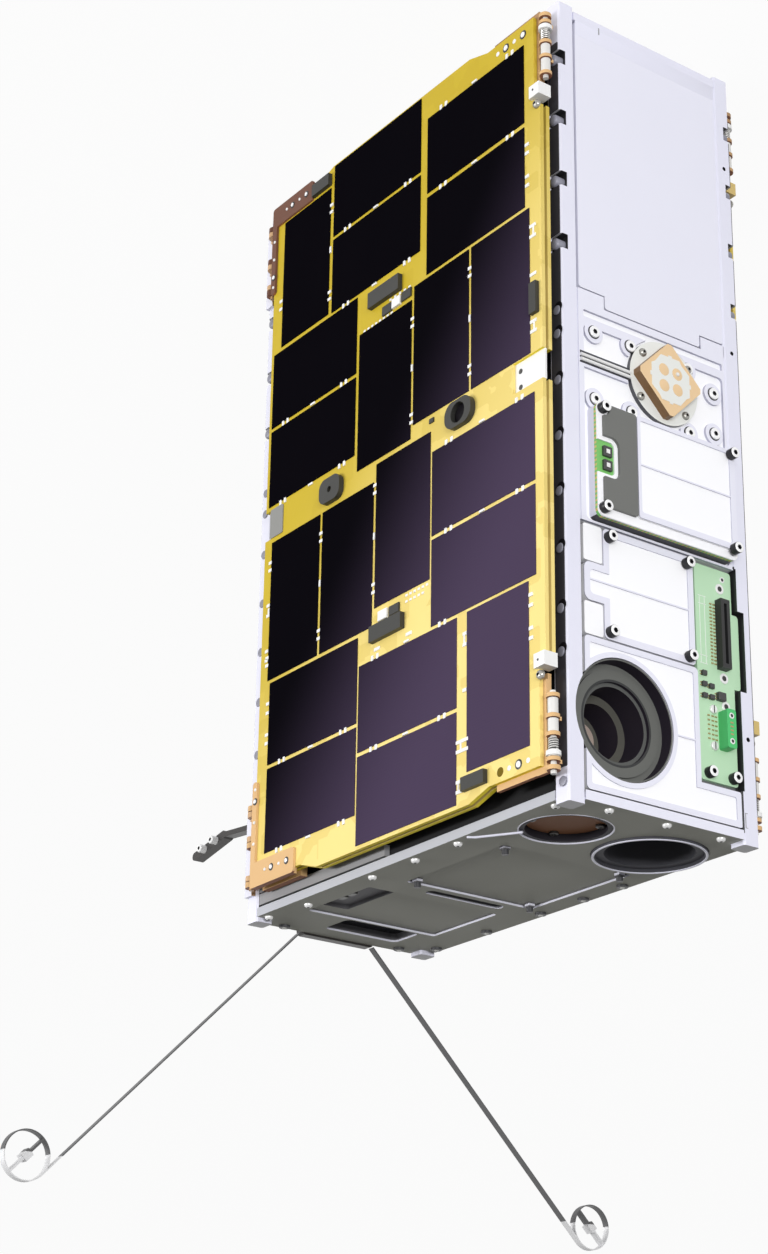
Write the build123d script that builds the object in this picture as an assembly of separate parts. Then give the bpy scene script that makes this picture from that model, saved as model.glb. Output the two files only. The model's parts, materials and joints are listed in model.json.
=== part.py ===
"""A six-unit cube satellite with two stowed solar wings and a deployed V of two tape antennas.

Every place below is given in the flight frame: X towards the instrument face, -Y towards the front
wing, Z away from the aperture end, with Z = 0 at the rail ends of the aperture end. The last step
turns the whole satellite over, so that it stands on its closed end with the antennas up.
"""
from build123d import *
import os
from math import cos, radians, sin

# Driving dimensions, in millimetres
BODY_X = 226.3
BODY_Y = 100.0
BODY_Z = 366.0
RAIL = 8.5
RAIL_EDGE = 0.8
WALL = 1.5
WALL_SETBACK = 3.5
END_PLATE = 4.0
FOOT = 2.0
FACE_DEPTH = 4.0
FACE_WALL = 2.0
COVER_SETBACK = 0.4
COVER_POCKET = 0.5
COVER_RIDGE = 0.7
COVER_RADIUS = 2.0
SEAT = 0.3
SEAM = 0.6
OVERCUT = 1.0
ANTENNA_WALL_SETBACK = 1.0

# Places worked out from the driving dimensions
FACE_X = BODY_X / 2
SIDE_Y = BODY_Y / 2
RAIL_IN_X = FACE_X - RAIL
RAIL_IN_Y = SIDE_Y - RAIL
APERTURE_FACE = FOOT
APERTURE_BACK = FOOT + END_PLATE
CLOSED_FACE = BODY_Z - FOOT
CLOSED_BACK = CLOSED_FACE - END_PLATE
WALL_OUT_Y = SIDE_Y - WALL_SETBACK
WALL_IN_Y = WALL_OUT_Y - WALL
WALL_SEAT_X = FACE_X - FACE_DEPTH
COVER_FACE_X = FACE_X - COVER_SETBACK
ANTENNA_WALL_X = -FACE_X + ANTENNA_WALL_SETBACK

# Square notches in the outer edges of the rails, and tapped holes in one rail
RAIL_NOTCHES = [246.0, 276.5, 307.0, 337.5]
RAIL_NOTCH = 7.0
RAIL_NOTCH_DEPTH = 3.6
RAIL_HOLES = [45.6, 133.0, 224.5, 318.5]
RAIL_HOLE_EDGE = 4.0
RAIL_HOLE_RADIUS = 1.0
RAIL_HOLE_DEPTH = 5.0

# Aperture end plate: pockets as X span, Y span, depth, corner radius
SMALL_APERTURE = (79.0, -23.0)
SMALL_APERTURE_RADIUS = 18.9
SMALL_APERTURE_DEPTH = 8.0
SMALL_APERTURE_LIP = 0.4
SMALL_CUP = 4.8
SMALL_DISC_RADIUS = 16.4
SMALL_DISC = 1.4
LARGE_APERTURE = (75.0, 24.8)
LARGE_APERTURE_RADIUS = 24.3
LARGE_APERTURE_DEPTH = 16.0
LARGE_LENS_RADIUS = 16.0
LARGE_LENS_BALL = 26.0
LARGE_LENS_RISE = 4.0
LARGE_LIP = 1.0
LARGE_RIM = 1.8
LARGE_GROOVE = 1.4
LARGE_WALL = 0.8
END_POCKETS = [
    ((-19.0, 48.0), (-30.0, 38.5), 1.4, 1.5),
    ((-82.0, -35.0), (-37.8, 32.0), 1.4, 1.5),
    ((-74.0, -35.0), (-37.8, -22.0), 3.2, 2.0),
    ((-28.0, -22.6), (-14.0, 27.0), 3.2, 2.5),
]
END_WINDOW = ((-102.0, -83.0), (-15.4, 24.6))
END_WINDOW_RADIUS = 3.0
END_BOSS = 3.2
END_BOSS_RISE = 0.6
END_BOSS_ROOT = 2.0
END_BOSSES = [(-15.5, -26.5), (44.5, -26.5), (-15.5, 35.0), (44.5, 35.0)]
CLOSED_POCKET = ((-60.0, 60.0), (-30.0, 30.0))
CLOSED_POCKET_DEPTH = 1.2
CLOSED_POCKET_RADIUS = 4.0

# Telescope: its place comes from the room it leaves in the rail and over the end plate
HOOD_RADIUS = 22.2
HOOD_GAP = 3.5
HOOD_RAIL_LEFT = 3.9
HOOD_FOOT = 7.5
HOOD_LENGTH = 28.0
HOOD_SETBACK = 5.6
HOOD_BACK = 3.0
HOOD_LINER = 0.6
HOOD_LINER_SETBACK = 0.5
HOOD_FLANGE = 0.8
HOOD_FLANGE_BACK = 1.8
HOOD_RIM = 2.2
HOOD_CUT = HOOD_RADIUS + HOOD_GAP
HOOD_Y = -SIDE_Y + HOOD_RAIL_LEFT + HOOD_CUT
HOOD_Z = APERTURE_BACK + HOOD_FOOT + HOOD_CUT
# Bores from the rim inwards: distance behind the rim, wall between the bore and the barrel's outside
HOOD_BORES = [(0.0, 5.0), (1.5, 6.6), (13.0, 10.2)]
MIRROR_WALL = 15.2
MIRROR = 3.0

# Covers of the instrument face, stacked up from the telescope plate's upper edge
TELESCOPE_PLATE_Y = (-40.6, 19.6)
TELESCOPE_PLATE_LOW = APERTURE_BACK + 0.8
TELESCOPE_PLATE_STEP = 22.2
TELESCOPE_BORDER = 2.6
STACK = HOOD_Z + HOOD_CUT + 5.9
BOX_Y = (-30.0, 18.6)
BOX_Z = (STACK + 0.8, STACK + 48.6)
BOX_LUG_Y = -40.2
BOX_LUG_Z = (STACK + 15.4, STACK + 32.0)
BOX_LUG_RADIUS = 3.0
BOX_LUG_ROOT = 6.0
BOX_BORDER = 3.0
BOX_RIDGE_Z = STACK + 24.7
BOX_SIDE_Y = (-40.2, -30.5)
BOX_SIDE_SETBACK = 0.3
COVER_Y = (-40.6, 41.0)
MIDDLE_LOW = STACK + 49.6
MIDDLE_HIGH = STACK + 149.9
MIDDLE_Y = (-41.2, 41.2)
MIDDLE_POCKET_DEPTH = 1.2
MIDDLE_POCKET_Y = (-38.4, 39.9)
MIDDLE_POCKET_Z = (STACK + 50.6, STACK + 139.3)
MIDDLE_POCKET_RADIUS = 2.0
MIDDLE_STRIP_Z = (STACK + 143.2, STACK + 146.4)
MIDDLE_STRIP_RADIUS = 0.6
MIDDLE_BAND_Z = (STACK + 119.5, STACK + 126.7)
BOSS_RADIUS = 5.0
MIDDLE_BOSSES = [
    (-32.9, STACK + 137.2), (-13.0, STACK + 137.2), (19.4, STACK + 137.2), (34.0, STACK + 130.0),
    (34.0, STACK + 110.8), (-32.9, STACK + 106.0), (-13.0, STACK + 106.2), (19.4, STACK + 106.7),
]
UPPER_COVER_LOW = STACK + 150.5
UPPER_COVER_STEP = 6.0
UPPER_COVER_TAB = (-26.4, 27.2)
UPPER_COVER_RADIUS = 1.5

# Patch antenna
PATCH_CENTRE = (5.0, STACK + 125.2)
PATCH_DISC_RADIUS = 19.0
PATCH_DISC_GAP = 1.0
PATCH_DISC = 2.0
PATCH_SIDE = 25.5
PATCH_CORNER = 1.6
PATCH = 4.2

# Raised module: housing, board and cover on the floor of the middle plate's pocket
MODULE_Y = (-36.2, 40.0)
MODULE_Z = (STACK + 51.2, STACK + 102.4)
MODULE_HOUSING = 4.0
MODULE_BOARD = 1.4
MODULE_FLANGE = 0.7
MODULE_RAISE = 1.6
MODULE_RADIUS = 3.0
MODULE_PLATE_Y = (-33.6, -16.1)
MODULE_PLATE_Z = (STACK + 55.2, STACK + 101.4)
MODULE_RAISED_Y = (MODULE_PLATE_Y[1] + SEAT, MODULE_Y[1] - 1.2)
MODULE_SCREW_ROOM = 3.2
MODULE_SCREWS = [(-33.6, STACK + 54.8), (-33.6, STACK + 99.4)]
MODULE_PLATE_RADIUS = 1.2
MODULE_PLATE_SETBACK = 0.2
MODULE_NOTCH_Y = (-38.0, -27.4)
MODULE_NOTCH_Z = (STACK + 70.4, STACK + 85.1)
MODULE_NOTCH_RADIUS = 2.0
MODULE_NOTCH_RIM = 1.9
MODULE_POCKET_Y = (-14.2, 35.7)
MODULE_POCKET_Z = (STACK + 57.8, STACK + 99.4)
MODULE_RIDGE_Z = STACK + 79.4

# Board beside the telescope, with its connectors, and the pocket for it in the back rail
BOARD = 1.6
BOARD_Y = (21.2, 45.2)
BOARD_Z = (24.4, STACK + 48.4)
BOARD_STEP_Y = 41.7
BOARD_STEP_Z = (STACK - 3.6, STACK + 29.8)
BOARD_EDGE = 1.2
BOARD_RADIUS = 1.5
BOARD_STEP_ROOT = 4.0
BOARD_POCKET_Z = (22.6, STACK + 50.2)
LONG_CONNECTOR_Y = (32.3, 37.3)
LONG_CONNECTOR_Z = (STACK + 3.2, STACK + 34.0)
LONG_CONNECTOR = 3.7
LONG_CONNECTOR_SLOT = (1.5, 2.0, 1.7)
SHORT_CONNECTOR_Y = (31.9, 36.9)
SHORT_CONNECTOR_Z = (STACK - 32.1, STACK - 15.3)
SHORT_CONNECTOR = 5.2
SHORT_CONNECTOR_RADIUS = 1.0

# Closed-in electronics
AVIONICS_X = (-100.0, 45.0)
AVIONICS_LOW = 30.0

# Antennas
TAPE_WIDTH = 3.5
TAPE = 0.5
TAPE_LENGTH = 175.0
TAPE_ANGLE = 45.0
HOOP_RADIUS = 10.5
HOOP_BLOCK = (4.5, 4.4, 3.6)
ANTENNA_BASE = 4.5
ANTENNA_BASE_Z = (FOOT - 1.0, 26.0)
ANTENNA_BASE_RADIUS = 2.0
ANTENNA_BASE_ROOT = 1.0
ANTENNA_HALF = 20.0
# Release arm: distance out from the wall and Z of its corners, then its widths
ARM_Y = 38.0
ARM_WIDTH = 5.0
ARM_POINTS = [(0.0, 52.0), (20.0, 52.5), (40.0, 54.3), (65.0, 49.5)]
ARM_WIDTHS = [2.6, 2.6, 4.0]
ARM_FOOT = 2.5
ARM_FOOT_Y = 12.0
ARM_FOOT_HALF = 7.0

# Wing stack, front wing: both panels lie in front of the rail plane
PANEL = 1.8
PANEL_GAP = 1.4
PANEL_STANDOFF = 4.0
CELL = 0.35
WING_LEFT = -94.5
WING_RIGHT = 111.0
WING_LOW = 9.5
WING_HEIGHT = 351.2
BACK_NARROWER = 7.5
CORNER_STEP = 4.0
STEP_LEFT = (-58.0, -45.0)
STEP_RIGHT = (62.0, 75.0)
WING_HIGH = WING_LOW + WING_HEIGHT
WING_MIDDLE = (WING_LOW + WING_HIGH) / 2
INNER_BACK = -SIDE_Y - PANEL_STANDOFF
INNER_FRONT = INNER_BACK - PANEL
OUTER_BACK = INNER_FRONT - PANEL_GAP
OUTER_FRONT = OUTER_BACK - PANEL

# Fold hinge at the right edge: corners cut back for it, then low Z and high Z of each knuckle
FOLD_X = 112.0
FOLD_Y = (INNER_FRONT + OUTER_BACK) / 2
HINGE_CORNER = 107.0
HINGE_TOP = 59.6
EAR_RADIUS = 2.7
PIN_RADIUS = 1.2
PIN_CLEARANCE = 0.3
LEAF = 1.8
LEAF_GAP = 0.4
FOLD_EARS_OUTER = [(12.4, 14.2), (26.2, 27.8), (42.0, 43.6)]
FOLD_EARS_INNER = [(16.0, 17.6), (33.6, 35.2)]
FOLD_BARRELS = [(17.9, 20.6, 2.3), (20.6, 25.8, 1.5), (28.1, 33.3, 2.1), (35.5, 41.7, 2.1)]
FOLD_PIN = (11.0, 45.0)
FOLD_SHIFT = -1.8
FOLD_LEG_X = (78.0, FOLD_X - EAR_RADIUS - LEAF_GAP)
FOLD_LEG_Z = (10.8, 22.4)
FOLD_POST_X = (103.0, FOLD_LEG_X[1])
FOLD_POST_TOP = 49.0
FOLD_PLATE_X = (88.0, 106.0)
FOLD_PLATE_Z = (13.0, 53.0)
FOLD_ARM_ROOT = 2.0
INNER_CORNER_X = 76.5
INNER_CORNER_Z = 23.5
INNER_EDGE_X = 102.0
CLIP_X = (105.8, 112.4)
CLIP_Z = (53.2, 59.2)
CLIP_HIGH_RISE = 3.5
CLIP = 1.9
CLIP_BACK = 3.0

# Root hinge at the left edge: low Z and high Z of each knuckle
ROOT_X = -103.5
ROOT_STANDOFF = 4.0
ROOT_Y = -SIDE_Y - ROOT_STANDOFF
ROOT_EAR_RADIUS = 3.0
ROOT_LEAF = 3.4
ROOT_EARS_LEAF = [(14.0, 16.5), (32.5, 35.0), (50.0, 52.5)]
ROOT_EARS_BASE = [(16.9, 19.4), (35.4, 37.9), (47.1, 49.6)]
ROOT_PIN = (13.0, 54.0)
ROOT_LEG_X = (-94.5, -64.0)
ROOT_LEG_Z = (11.0, 23.0)
ROOT_POST_X = (-94.5, -90.0)
ROOT_POST_TOP = 58.0
ROOT_ARM_ROOT = 2.0
ROOT_BASE = 2.0
ROOT_BASE_X = (-FACE_X + 0.6, ROOT_X - ROOT_EAR_RADIUS - SEAT)
ROOT_BASE_Z = (12.0, 55.0)
ROOT_BASE_ARM_Y = (-SIDE_Y - ROOT_BASE - 0.8, -SIDE_Y - 0.4)

# Corner brackets of the outer panel: leg low and high Z, post's far end, the panel edge under the lip
BRACKET = 1.2
BRACKET_LEG_X = (-95.8, -61.0)
BRACKET_POST_X = (-95.8, -92.2)
BRACKET_RADIUS = 1.5
CORNER_BRACKETS = [
    (WING_LOW + 1.3, WING_LOW + 12.9, WING_LOW + 51.0, WING_LOW + CORNER_STEP),
    (WING_HIGH - 10.7, WING_HIGH + 0.3, WING_HIGH - 48.2, WING_HIGH - CORNER_STEP),
]

# Hold-down: plates on the outer panel, set in notches in the panels' edges
HOLD_Z = (179.2, 193.2)
HOLD_X = (91.7, WING_RIGHT)
HOLD_INNER_X = 105.0
HOLD_SETBACK = 1.3
HOLD_BACK = 0.4
HOLD_LEFT_X = (-90.0, -79.6)
HOLD_LEFT_Z = (179.8, 194.6)
HOLD_LEFT = 0.5
HOLD_RADIUS = 1.0

# Cells of the outer panel: left, right, low, high
OUTER_CELLS = [
    (-86.0, -46.3, 280.0, 349.1), (-43.5, 26.0, 320.6, 359.8), (-43.5, 26.0, 279.3, 318.8),
    (31.2, 100.4, 306.3, 346.0), (31.2, 100.4, 264.4, 304.1), (-92.0, -22.2, 238.2, 277.8),
    (-92.0, -22.2, 196.6, 236.3), (-19.8, 20.4, 187.6, 256.8), (22.2, 61.9, 193.6, 262.7),
    (63.6, 103.3, 193.6, 262.7), (-88.2, -48.4, 108.0, 177.2), (-46.4, -6.5, 108.0, 177.2),
    (-4.6, 35.2, 116.0, 185.2), (36.6, 105.7, 135.2, 174.8), (36.6, 105.7, 93.8, 133.4),
    (-86.0, -16.6, 66.6, 106.2), (-86.0, -16.6, 25.2, 64.8), (-15.2, 54.2, 52.6, 92.2),
    (-15.2, 54.2, 11.2, 50.8), (61.2, 100.9, 23.3, 92.4),
]

# Cells of the inner panel, a plain grid on its body side
INNER_CELL_X = 39.7
INNER_CELL_Z = 69.1
INNER_CELL_SPACE = 1.8
INNER_CELL_COLUMNS = 4
INNER_CELL_ROWS = 4

# Dark blocks on the outer panel: left, right, low, high, height
OUTER_BLOCKS = [
    (-60.4, -46.2, 350.6, 357.0, 2.2), (-11.0, 12.5, 265.8, 273.8, 2.4),
    (-5.5, 17.5, 99.6, 107.0, 2.4), (104.6, 109.0, 210.3, 224.8, 2.0),
    (59.5, 74.2, 15.2, 21.0, 2.2),
]

# Bumpers on the outer panel: centre X, centre Z, width, height in Z, corner radius, hole radius
BUMPER = 2.6
BUMPERS = [
    (57.2, 184.8, 18.1, 12.4, 5.5, 4.75),
    (-38.4, 185.5, 16.1, 12.1, 4.5, 1.5),
]


def slab(x, y, z):
    """A plain block between low and high values on each axis."""
    centre = Pos((x[0] + x[1]) / 2, (y[0] + y[1]) / 2, (z[0] + z[1]) / 2)
    return centre * Box(x[1] - x[0], y[1] - y[0], z[1] - z[0])


def plate_x(x, y, z, radius):
    """A plate that faces along X, with round corners."""
    shape = RectangleRounded(y[1] - y[0], z[1] - z[0], radius)
    outline = Pos((y[0] + y[1]) / 2, (z[0] + z[1]) / 2) * shape
    return extrude(Plane.YZ.offset(x[0]) * outline, x[1] - x[0])


def plate_y(x, y, z, radius):
    """A plate that faces along Y, with round corners."""
    shape = RectangleRounded(x[1] - x[0], z[1] - z[0], radius)
    outline = Pos((x[0] + x[1]) / 2, (z[0] + z[1]) / 2) * shape
    return extrude(Plane.XZ.offset(-y[1]) * outline, y[1] - y[0])


def plate_z(x, y, z, radius):
    """A plate that faces along Z, with round corners."""
    shape = RectangleRounded(x[1] - x[0], y[1] - y[0], radius)
    outline = Pos((x[0] + x[1]) / 2, (y[0] + y[1]) / 2) * shape
    return extrude(Plane.XY.offset(z[0]) * outline, z[1] - z[0])


def rod_x(y, z, radius, x):
    """A round bar along X."""
    return extrude(Plane.YZ.offset(x[0]) * (Pos(y, z) * Circle(radius)), x[1] - x[0])


def rod_z(x, y, radius, z):
    """A round bar along Z."""
    return extrude(Plane.XY.offset(z[0]) * (Pos(x, y) * Circle(radius)), z[1] - z[0])


def upended(z):
    """The same span of Z at the other end of the wing."""
    return (2 * WING_MIDDLE - z[1], 2 * WING_MIDDLE - z[0])


def both_ends(spans, shift=0.0):
    """A table of Z spans at the aperture end of the wing, and the same at its other end, both shifted."""
    moved = [(low + shift, high + shift) for low, high in spans]
    far = [upended(span) for span in spans]
    return [(moved, False), ([(low + shift, high + shift) for low, high in far], True)]


def mirrored(solids):
    """The back wing's copy of solids of the front wing."""
    return [mirror(solid, about=Plane.XZ) for solid in solids]


def rail(side_x, side_y):
    """One corner rail, with its edge notches and the room for the instruments beside it."""
    x = sorted((side_x * RAIL_IN_X, side_x * FACE_X))
    y = sorted((side_y * RAIL_IN_Y, side_y * SIDE_Y))
    bar = slab(x, y, (0, BODY_Z))
    bar = chamfer(bar.edges().filter_by(Axis.Z), RAIL_EDGE)
    notch_x = sorted((side_x * (FACE_X - RAIL_NOTCH), side_x * (FACE_X + OVERCUT)))
    notch_y = sorted((side_y * (SIDE_Y - RAIL_NOTCH_DEPTH), side_y * (SIDE_Y + OVERCUT)))
    for z in RAIL_NOTCHES:
        bar -= slab(notch_x, notch_y, (z - RAIL_NOTCH / 2, z + RAIL_NOTCH / 2))
    if side_x > 0 and side_y < 0:
        bar -= rod_x(HOOD_Y, HOOD_Z, HOOD_CUT, (x[0] - OVERCUT, FACE_X + OVERCUT))
    if side_x > 0 and side_y > 0:
        pocket_x = (WALL_SEAT_X, FACE_X + OVERCUT)
        step_z = (BOARD_STEP_Z[0] - BOARD_EDGE, BOARD_STEP_Z[1] + BOARD_EDGE)
        bar -= slab(pocket_x, (RAIL_IN_Y - OVERCUT, BOARD_STEP_Y + BOARD_EDGE), BOARD_POCKET_Z)
        bar -= slab(pocket_x, (RAIL_IN_Y - OVERCUT, BOARD_Y[1] + BOARD_EDGE), step_z)
        hole_x = (FACE_X - RAIL_HOLE_DEPTH, FACE_X + OVERCUT)
        for z in RAIL_HOLES:
            bar -= rod_x(SIDE_Y - RAIL_HOLE_EDGE, z, RAIL_HOLE_RADIUS, hole_x)
    return bar


def end_plate(face, back):
    """An end plate that fills the outline between the four rail ends."""
    low, high = sorted((face, back))
    plate = slab((-FACE_X, FACE_X), (-SIDE_Y, SIDE_Y), (low, high))
    for side_x in (-1, 1):
        for side_y in (-1, 1):
            x = sorted((side_x * RAIL_IN_X, side_x * (FACE_X + OVERCUT)))
            y = sorted((side_y * RAIL_IN_Y, side_y * (SIDE_Y + OVERCUT)))
            plate -= slab(x, y, (low - OVERCUT, high + OVERCUT))
    return plate


def aperture_end_plate():
    """The end plate with the two optical apertures, pocketed covers, a slot and a window."""
    plate = end_plate(APERTURE_FACE, APERTURE_BACK)
    through = (APERTURE_FACE - OVERCUT, APERTURE_BACK + OVERCUT)
    for x, y, depth, radius in END_POCKETS:
        plate -= plate_z(x, y, (APERTURE_FACE - OVERCUT, APERTURE_FACE + depth), radius)
    plate -= plate_z(*END_WINDOW, through, END_WINDOW_RADIUS)
    plate -= rod_z(*SMALL_APERTURE, SMALL_APERTURE_RADIUS, through)
    plate -= rod_z(*LARGE_APERTURE, LARGE_APERTURE_RADIUS, through)
    half = END_BOSS / 2
    boss_z = (APERTURE_FACE - END_BOSS_RISE, APERTURE_FACE + END_BOSS_ROOT)
    for x, y in END_BOSSES:
        plate += slab((x - half, x + half), (y - half, y + half), boss_z)
    return plate


def end_window_glass():
    """The dark plate that closes the window of the aperture end from inside."""
    (x_low, x_high), (y_low, y_high) = END_WINDOW
    x = (x_low - OVERCUT, x_high + OVERCUT)
    y = (y_low - OVERCUT, y_high + OVERCUT)
    return slab(x, y, (APERTURE_BACK, APERTURE_BACK + WALL))


def closed_end_plate():
    """The plain end plate with one shallow pocket."""
    plate = end_plate(CLOSED_FACE, CLOSED_BACK)
    pocket_z = (CLOSED_FACE - CLOSED_POCKET_DEPTH, CLOSED_FACE + OVERCUT)
    return plate - plate_z(*CLOSED_POCKET, pocket_z, CLOSED_POCKET_RADIUS)


def long_wall(side):
    """The wall behind a wing, set back between the rails."""
    y = sorted((side * WALL_IN_Y, side * WALL_OUT_Y))
    return slab((-RAIL_IN_X, RAIL_IN_X), y, (APERTURE_BACK, CLOSED_BACK))


def antenna_side_wall():
    """The plain narrow wall that carries the antenna."""
    x = (ANTENNA_WALL_X, ANTENNA_WALL_X + FACE_WALL)
    return slab(x, (-RAIL_IN_Y, RAIL_IN_Y), (APERTURE_BACK, CLOSED_BACK))


def instrument_wall():
    """The narrow wall behind the instrument covers, with the telescope's opening."""
    x = (WALL_SEAT_X - FACE_WALL, WALL_SEAT_X)
    wall = slab(x, (-RAIL_IN_Y, RAIL_IN_Y), (APERTURE_BACK, CLOSED_BACK))
    return wall - rod_x(HOOD_Y, HOOD_Z, HOOD_CUT + SEAT, (0, FACE_X))


def upper_cover():
    """The plain upper cover, whose lower edge has a wide tab."""
    x = (WALL_SEAT_X, COVER_FACE_X)
    low = UPPER_COVER_LOW + UPPER_COVER_STEP
    cover = plate_x(x, COVER_Y, (low, CLOSED_BACK), UPPER_COVER_RADIUS)
    tab_z = (UPPER_COVER_LOW, low + UPPER_COVER_STEP)
    return cover + plate_x(x, UPPER_COVER_TAB, tab_z, UPPER_COVER_RADIUS)


def middle_plate():
    """The plate behind the patch antenna and the module, pocketed round its screw bosses."""
    x = (WALL_SEAT_X, COVER_FACE_X)
    plate = slab(x, MIDDLE_Y, (MIDDLE_LOW, MIDDLE_HIGH))
    side_z = (MIDDLE_HIGH - OVERCUT, MIDDLE_HIGH + UPPER_COVER_STEP)
    plate += slab(x, (MIDDLE_Y[0], UPPER_COVER_TAB[0] - SEAM), side_z)
    plate += slab(x, (UPPER_COVER_TAB[1] + SEAM, MIDDLE_Y[1]), side_z)
    cut = (COVER_FACE_X - MIDDLE_POCKET_DEPTH, FACE_X + OVERCUT)
    through = (WALL_SEAT_X, FACE_X + 2 * OVERCUT)
    pocket = plate_x(cut, MIDDLE_POCKET_Y, MIDDLE_POCKET_Z, MIDDLE_POCKET_RADIUS)
    pocket -= slab(through, (MIDDLE_Y[0], PATCH_CENTRE[0]), MIDDLE_BAND_Z)
    for y, z in MIDDLE_BOSSES:
        pocket -= rod_x(y, z, BOSS_RADIUS, through)
    pocket += rod_x(*PATCH_CENTRE, PATCH_DISC_RADIUS + PATCH_DISC_GAP, cut)
    pocket += plate_x(cut, MODULE_Y, MODULE_Z, MODULE_RADIUS)
    strip = plate_x(cut, MIDDLE_POCKET_Y, MIDDLE_STRIP_Z, MIDDLE_STRIP_RADIUS)
    return plate - pocket - strip


def pocket_floor():
    """X of the floor of the middle plate's pocket, on which the patch and the module stand."""
    return COVER_FACE_X - MIDDLE_POCKET_DEPTH


def patch_disc():
    """The round ground plate of the patch antenna."""
    floor = pocket_floor()
    return rod_x(*PATCH_CENTRE, PATCH_DISC_RADIUS, (floor, floor + PATCH_DISC))


def patch_antenna():
    """The square ceramic patch, stood on one corner."""
    base = pocket_floor() + PATCH_DISC
    square = chamfer(Rectangle(PATCH_SIDE, PATCH_SIDE).vertices(), PATCH_CORNER)
    outline = Pos(*PATCH_CENTRE) * (Rot(0, 0, 45) * square)
    return extrude(Plane.YZ.offset(base) * outline, PATCH)


def module_levels():
    """X of the raised module's seat, housing top, board top, flange top and cover top."""
    seat = pocket_floor()
    housing = seat + MODULE_HOUSING
    board = housing + MODULE_BOARD
    flange = board + MODULE_FLANGE
    return seat, housing, board, flange, flange + MODULE_RAISE


def module_housing():
    """The lower shell of the raised module."""
    seat, housing, _, _, _ = module_levels()
    return plate_x((seat, housing), MODULE_Y, MODULE_Z, MODULE_RADIUS)


def module_board():
    """The circuit board between the module's shell and its cover."""
    _, housing, board, _, _ = module_levels()
    return plate_x((housing, board), MODULE_Y, MODULE_Z, MODULE_RADIUS)


def module_notch(x, rim):
    """The room in the module's cover over the two light sensors."""
    y = (MODULE_NOTCH_Y[0], MODULE_NOTCH_Y[1] + rim)
    z = (MODULE_NOTCH_Z[0] - rim, MODULE_NOTCH_Z[1] + rim)
    return plate_x(x, y, z, MODULE_NOTCH_RADIUS + rim)


def module_cover():
    """The module's cover: a flange open over the sensors, and a raised part with two shallow fields."""
    _, _, board, flange, top = module_levels()
    cover = plate_x((board, flange), MODULE_Y, MODULE_Z, MODULE_RADIUS)
    cover -= module_notch((board - OVERCUT, top + OVERCUT), 0)
    cover += plate_x((board, top), MODULE_RAISED_Y, MODULE_PLATE_Z, MODULE_PLATE_RADIUS)
    field_x = (top - COVER_POCKET, top + OVERCUT)
    field = plate_x(field_x, MODULE_POCKET_Y, MODULE_POCKET_Z, MODULE_PLATE_RADIUS)
    return cover - (field - ridge(MODULE_RIDGE_Z))


def module_plate():
    """The dark raised plate beside the cover's fields, cut round the sensors and two screws."""
    _, _, _, flange, top = module_levels()
    through = (flange - OVERCUT, top + OVERCUT)
    plate = plate_x((flange, top - MODULE_PLATE_SETBACK), MODULE_PLATE_Y, MODULE_PLATE_Z, MODULE_PLATE_RADIUS)
    for y, z in MODULE_SCREWS:
        plate -= rod_x(y, z, MODULE_SCREW_ROOM, through)
    return plate - module_notch(through, MODULE_NOTCH_RIM)


def ridge(z):
    """The low ridge left standing across a cover's shallow field."""
    x = (WALL_SEAT_X, FACE_X + FACE_DEPTH * 3)
    return slab(x, (-SIDE_Y, SIDE_Y), (z - COVER_RIDGE / 2, z + COVER_RIDGE / 2))


def box_cover():
    """The flat electronics box with one wide lug and a shallow field inside its border."""
    x = (WALL_SEAT_X, COVER_FACE_X)
    lug = plate_x(x, (BOX_LUG_Y, BOX_Y[0] + BOX_LUG_ROOT), BOX_LUG_Z, BOX_LUG_RADIUS)
    box = plate_x(x, BOX_Y, BOX_Z, COVER_RADIUS) + lug
    cut = (COVER_FACE_X - COVER_POCKET, FACE_X + OVERCUT)
    field_y = (BOX_Y[0] + BOX_BORDER, BOX_Y[1] - BOX_BORDER)
    field_z = (BOX_Z[0] + BOX_BORDER, BOX_Z[1] - BOX_BORDER)
    field = plate_x(cut, field_y, field_z, COVER_RADIUS)
    lug_y = (BOX_LUG_Y + BOX_BORDER, BOX_Y[0] + 2 * BOX_LUG_ROOT)
    lug_z = (BOX_LUG_Z[0] + BOX_BORDER, BOX_LUG_Z[1] - BOX_BORDER)
    field += plate_x(cut, lug_y, lug_z, COVER_RADIUS)
    return box - (field - ridge(BOX_RIDGE_Z))


def box_side_plates():
    """The two small plates that fill the corners over and under the box's lug."""
    x = (WALL_SEAT_X, COVER_FACE_X - BOX_SIDE_SETBACK)
    high = (BOX_LUG_Z[1] + SEAM, BOX_Z[1])
    low = (BOX_Z[0], BOX_LUG_Z[0] - SEAM)
    return [plate_x(x, BOX_SIDE_Y, z, OVERCUT) for z in (low, high)]


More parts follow.
